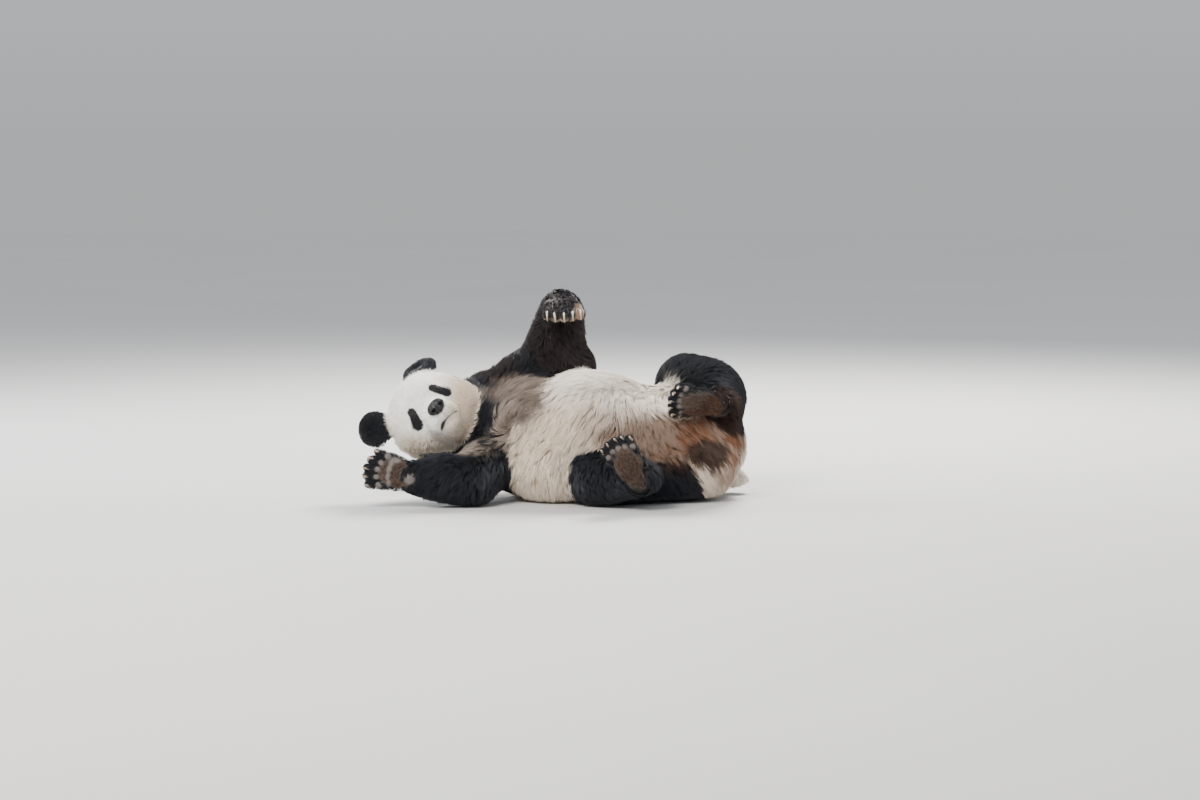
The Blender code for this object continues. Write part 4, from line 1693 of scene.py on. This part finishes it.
def growRoots(mesh, facts, bare):
    # roots scattered over the skin, closer together where the coat is finer
    mesh.calc_loop_triangles()
    corners = readMesh(mesh, "loop_triangles", "vertices", 3, int)
    points = pointsOf(mesh)
    weights = facts[:, :-1]
    density = fromCoats(2, weights) * (1 - ease(bare, *locks["bare"]))
    kept = locks["underfoot"]
    density *= kept + (1 - kept) * ease(points[:, 2], *locks["lying"])
    half, edge = faceHair["bareNose"]
    fromNose = np.linalg.norm((toHead(points) - noseShape["centre"]) / half, axis=1)
    density *= ease(fromNose, *edge)
    a, b, c = (points[corners[:, k]] for k in range(3))
    area = np.linalg.norm(np.cross(b - a, c - a), axis=1) / 2
    wanted = area * density[corners].mean(1)
    count = np.floor(wanted + chance.random(len(wanted))).astype(int)
    face = np.repeat(np.arange(len(count)), count)
    share = chance.dirichlet((1, 1, 1), len(face))
    owner = weights[corners].mean(1).argmax(1)
    return corners, face, share, owner[face]


def stepOver(tree, points, normals, way, place, step):
    # one step along the lie of the coat, kept over the skin
    ahead = place + way * step[:, None]
    near = np.array([tree.find(p)[1] for p in ahead])
    normal = normals[near]
    ahead -= normal * np.einsum("ij,ij->i", ahead - points[near], normal)[:, None]
    return ahead, normal, near


def lieOnSkin(points, normals, edges, weights):
    lie = unit(inSurface(lieOfCoat(points, weights), normals))
    return unit(spread(lie, edges, locks["evenLie"]))


def sizesOf(root, weight):
    # length, width and how much each lock stands out
    length = faceLength(root, fromCoats(0, weight), shareOf(weight, "head"))
    for centre, half, short in clipped:
        length += (short - length) * inStain(root, centre, half)
    lift = np.ones(len(root))
    for centre, half, amount in standing:
        lift += amount * inStain(root, centre, half)
    length *= chance.uniform(*locks["lengths"], len(root))
    return length, fromCoats(1, weight), lift


def pickLeaders(root):
    # the leader of the clump that each lock leans towards
    leaders = chance.permutation(len(root))[: len(root) // locks["clump"]]
    clumps = treeOf(root[leaders])
    return leaders[np.array([clumps.find(p)[1] for p in root])]


def growLocks(mesh, facts, marks, bare):
    # the bent middle line of every lock, and what its material needs
    points, normals, edges = pointsOf(mesh), normalsOf(mesh), edgesOf(mesh)
    weights = facts[:, :-1]
    lie = lieOnSkin(points, normals, edges, weights)
    softNormals = unit(spread(normals, edges, locks["evenNormals"]))
    corners, face, share, owner = growRoots(mesh, facts, bare)

    def mixed(values):
        return np.einsum("ij,ij...->i...", share, values[corners[face]])

    root, weight, depth = mixed(points), mixed(weights), mixed(facts[:, -1])
    count = len(root)
    length, width, lift = sizesOf(root, weight)
    leader = pickLeaders(root)
    own = chance.normal(0, locks["waver"] * locks["ownWaver"], count)
    turn = chance.normal(0, locks["waver"], count)[leader] + own
    turn += ragged(root, [locks["swirl"]]) * (1 - shareOf(weight, "head"))
    rise = depth * lift * chance.uniform(*locks["rise"], count)[leader]
    rise = np.minimum(rise, length * locks["steepest"] * lift)
    run = np.sqrt(np.maximum(length**2 - rise**2, (locks["least"] * length) ** 2))
    way, normal = unit(mixed(lie)), unit(mixed(softNormals))
    side = np.cross(normal, way)
    way = way * np.cos(turn)[:, None] + side * np.sin(turn)[:, None]
    tree = treeOf(points)
    stages = locks["stages"]
    line, ups = [root - normal * locks["sunk"]], [normal]
    place = root
    for low, high in zip(stages, stages[1:]):
        place, normal, near = stepOver(tree, points, softNormals, way, place, run * (high - low))
        way = unit(inSurface(unit(lie[near] + way * locks["along"]), normal))
        line.append(place + normal * (rise * high ** locks["arch"])[:, None])
        ups.append(normal)
    line = np.stack(line, 1)
    strength = chance.uniform(*locks["pull"], count)[leader]
    near, far = locks["pullEase"]
    reach = np.linalg.norm(root[leader] - root, axis=1)
    strength *= 1 - ease(reach, width * near, width * far)
    pull = strength[:, None] * np.array(stages) ** locks["pullBend"]
    line += (line[leader] - line) * pull[..., None]
    line[..., 2] = np.maximum(line[..., 2], locks["lowest"])
    clumpTone, ownTone = locks["toneShares"]
    tone = clumpTone * chance.random(count)[leader] + ownTone * chance.random(count)
    return {
        "line": line, "ups": np.stack(ups, 1), "width": width, "tone": tone,
        "marks": mixed(marks), "face": face, "share": share, "owner": owner,
        "root": root, "corners": corners,
    }


def unwrapSkin(points, corners, faces):
    # a flat map of the part of the skin that one piece grows from
    used, index = np.unique(corners[faces], return_inverse=True)
    mesh = bpy.data.meshes.new("patch")
    mesh.from_pydata(points[used].tolist(), [], index.reshape(-1, 3).tolist())
    obj = newObject("patch", mesh)
    bpy.context.view_layer.objects.active = obj
    bpy.ops.object.select_all(action="DESELECT")
    obj.select_set(True)
    mesh.uv_layers.new(name="OFBake")
    bpy.ops.object.mode_set(mode="EDIT")
    bpy.ops.mesh.select_all(action="SELECT")
    bpy.ops.uv.smart_project(scale_to_bounds=True, **locks["unwrap"])
    bpy.ops.object.mode_set(mode="OBJECT")
    uv = readMesh(mesh.uv_layers["OFBake"], "data", "uv", 2).reshape(-1, 3, 2)
    bpy.data.objects.remove(obj)
    return uv


def lockMesh(name, grown, chosen, uvs):
    # three-sided tapering locks, closed at the root, in one mesh
    line, ups = grown["line"][chosen], grown["ups"][chosen]
    ahead = unit(np.diff(line, axis=1))
    ahead = np.concatenate((ahead, ahead[:, -1:]), axis=1)
    side = unit(np.cross(ups, ahead))
    rise = np.cross(ahead, side)
    half = grown["width"][chosen][:, None, None, None] / 2
    turn = math.tau * np.array((3, 7, 11)) / 12  # a ridge above and two edges below
    size = np.array(locks["girth"])[:, None, None] * half
    rings = len(locks["girth"])
    count, each = len(line), 3 * rings + 1
    ring = (np.cos(turn)[:, None] * side[:, :rings, None] +
            locks["flat"] * np.sin(turn)[:, None] * rise[:, :rings, None])
    points = np.empty((count, each, 3))
    points[:, :-1] = (line[:, :rings, None] + ring * size).reshape(count, -1, 3)
    points[:, -1] = line[:, -1]
    points[..., 2] = np.maximum(points[..., 2], locks["lowest"] * 0.5)
    faces, spots = lockPattern(rings)
    loops = np.concatenate([np.array(face) for face in faces])
    sizes = np.array([len(face) for face in faces])
    mesh = bpy.data.meshes.new(name)
    mesh.vertices.add(count * each)
    mesh.vertices.foreach_set("co", points.astype(np.float32).ravel())
    allLoops = (np.arange(count)[:, None] * each + loops).ravel()
    mesh.loops.add(len(allLoops))
    mesh.loops.foreach_set("vertex_index", allLoops.astype(np.int32))
    starts = np.concatenate(([0], np.cumsum(sizes)[:-1]))
    mesh.polygons.add(count * len(sizes))
    allStarts = (np.arange(count)[:, None] * len(loops) + starts).ravel()
    mesh.polygons.foreach_set("loop_start", allStarts.astype(np.int32))
    mesh.update(calc_edges=True)
    layer = mesh.uv_layers.new(name="OFBake")
    uv = uvs[:, None] + (np.array(spots) - 0.5) * locks["patch"]
    uv = np.clip(uv, locks["margin"], 1 - locks["margin"])
    layer.data.foreach_set("uv", uv.astype(np.float32).ravel())
    along = np.repeat(locks["colourAt"], [3] * rings + [1])
    marks = grown["marks"][chosen]
    keepColour(mesh, "marks", np.repeat(marks[:, :3], each, axis=0))
    lock = np.column_stack((np.tile(along, count), np.repeat(grown["tone"][chosen], each),
                            np.repeat(marks[:, 3], each)))
    keepColour(mesh, "lock", lock)
    mesh.shade_flat()
    return mesh


def lockPattern(rings):
    # the faces of one lock and each corner's place in its patch of the map
    foot, reach, root = locks["patchParts"]
    faces, spots = [(0, 2, 1)], [(0, 0), (1, 0), (0.5, root)]
    for low in range(rings - 1):
        bottom, top = foot + reach * low / rings, foot + reach * (low + 1) / rings
        for k in range(3):
            j = (k + 1) % 3
            faces.append((3 * low + k, 3 * low + j, 3 * low + 3 + j, 3 * low + 3 + k))
            spots += [(k / 3, bottom), ((k + 1) / 3, bottom), ((k + 1) / 3, top), (k / 3, top)]
    low = 3 * (rings - 1)
    bottom = foot + reach * (rings - 1) / rings
    for k in range(3):
        faces.append((low + k, low + (k + 1) % 3, low + 3))
        spots += [(k / 3, bottom), ((k + 1) / 3, bottom), ((k + 0.5) / 3, 1)]
    return faces, spots


def growCoat():
    bare = np.maximum(bareLips, padShare)
    grown = growLocks(skinMesh, facts, skinMarks, bare)
    print("locks:", len(grown["root"]))
    most = locks["mostFaces"] // (6 * len(locks["girth"]) - 2)
    for family, members in coatPieces.items():
        mine = np.flatnonzero(np.isin(grown["owner"], [groupNames.index(n) for n in members]))
        order = mine[np.argsort(grown["root"][mine, 0], kind="stable")]
        for i, chosen in enumerate(np.array_split(order, math.ceil(len(mine) / most))):
            makeCoatPiece(f"{family}{i + 1}", grown, chosen)


def makeCoatPiece(name, grown, chosen):
    used, index = np.unique(grown["face"][chosen], return_inverse=True)
    uv = unwrapSkin(skinPoints, grown["corners"], used)[index]
    uvs = np.einsum("ij,ijk->ik", grown["share"][chosen], uv)
    mesh = lockMesh(name, grown, chosen, uvs)
    dark = grown["marks"][chosen][:, 0].mean() > 0.5
    slot = "face_coat" if name.startswith("coatHead") else "black_coat" if dark else "white_coat"
    finishPiece(newObject(name, mesh), "coat", slot)
    print(name, len(chosen), "locks")


chance = np.random.default_rng(locks["seed"])
growCoat()
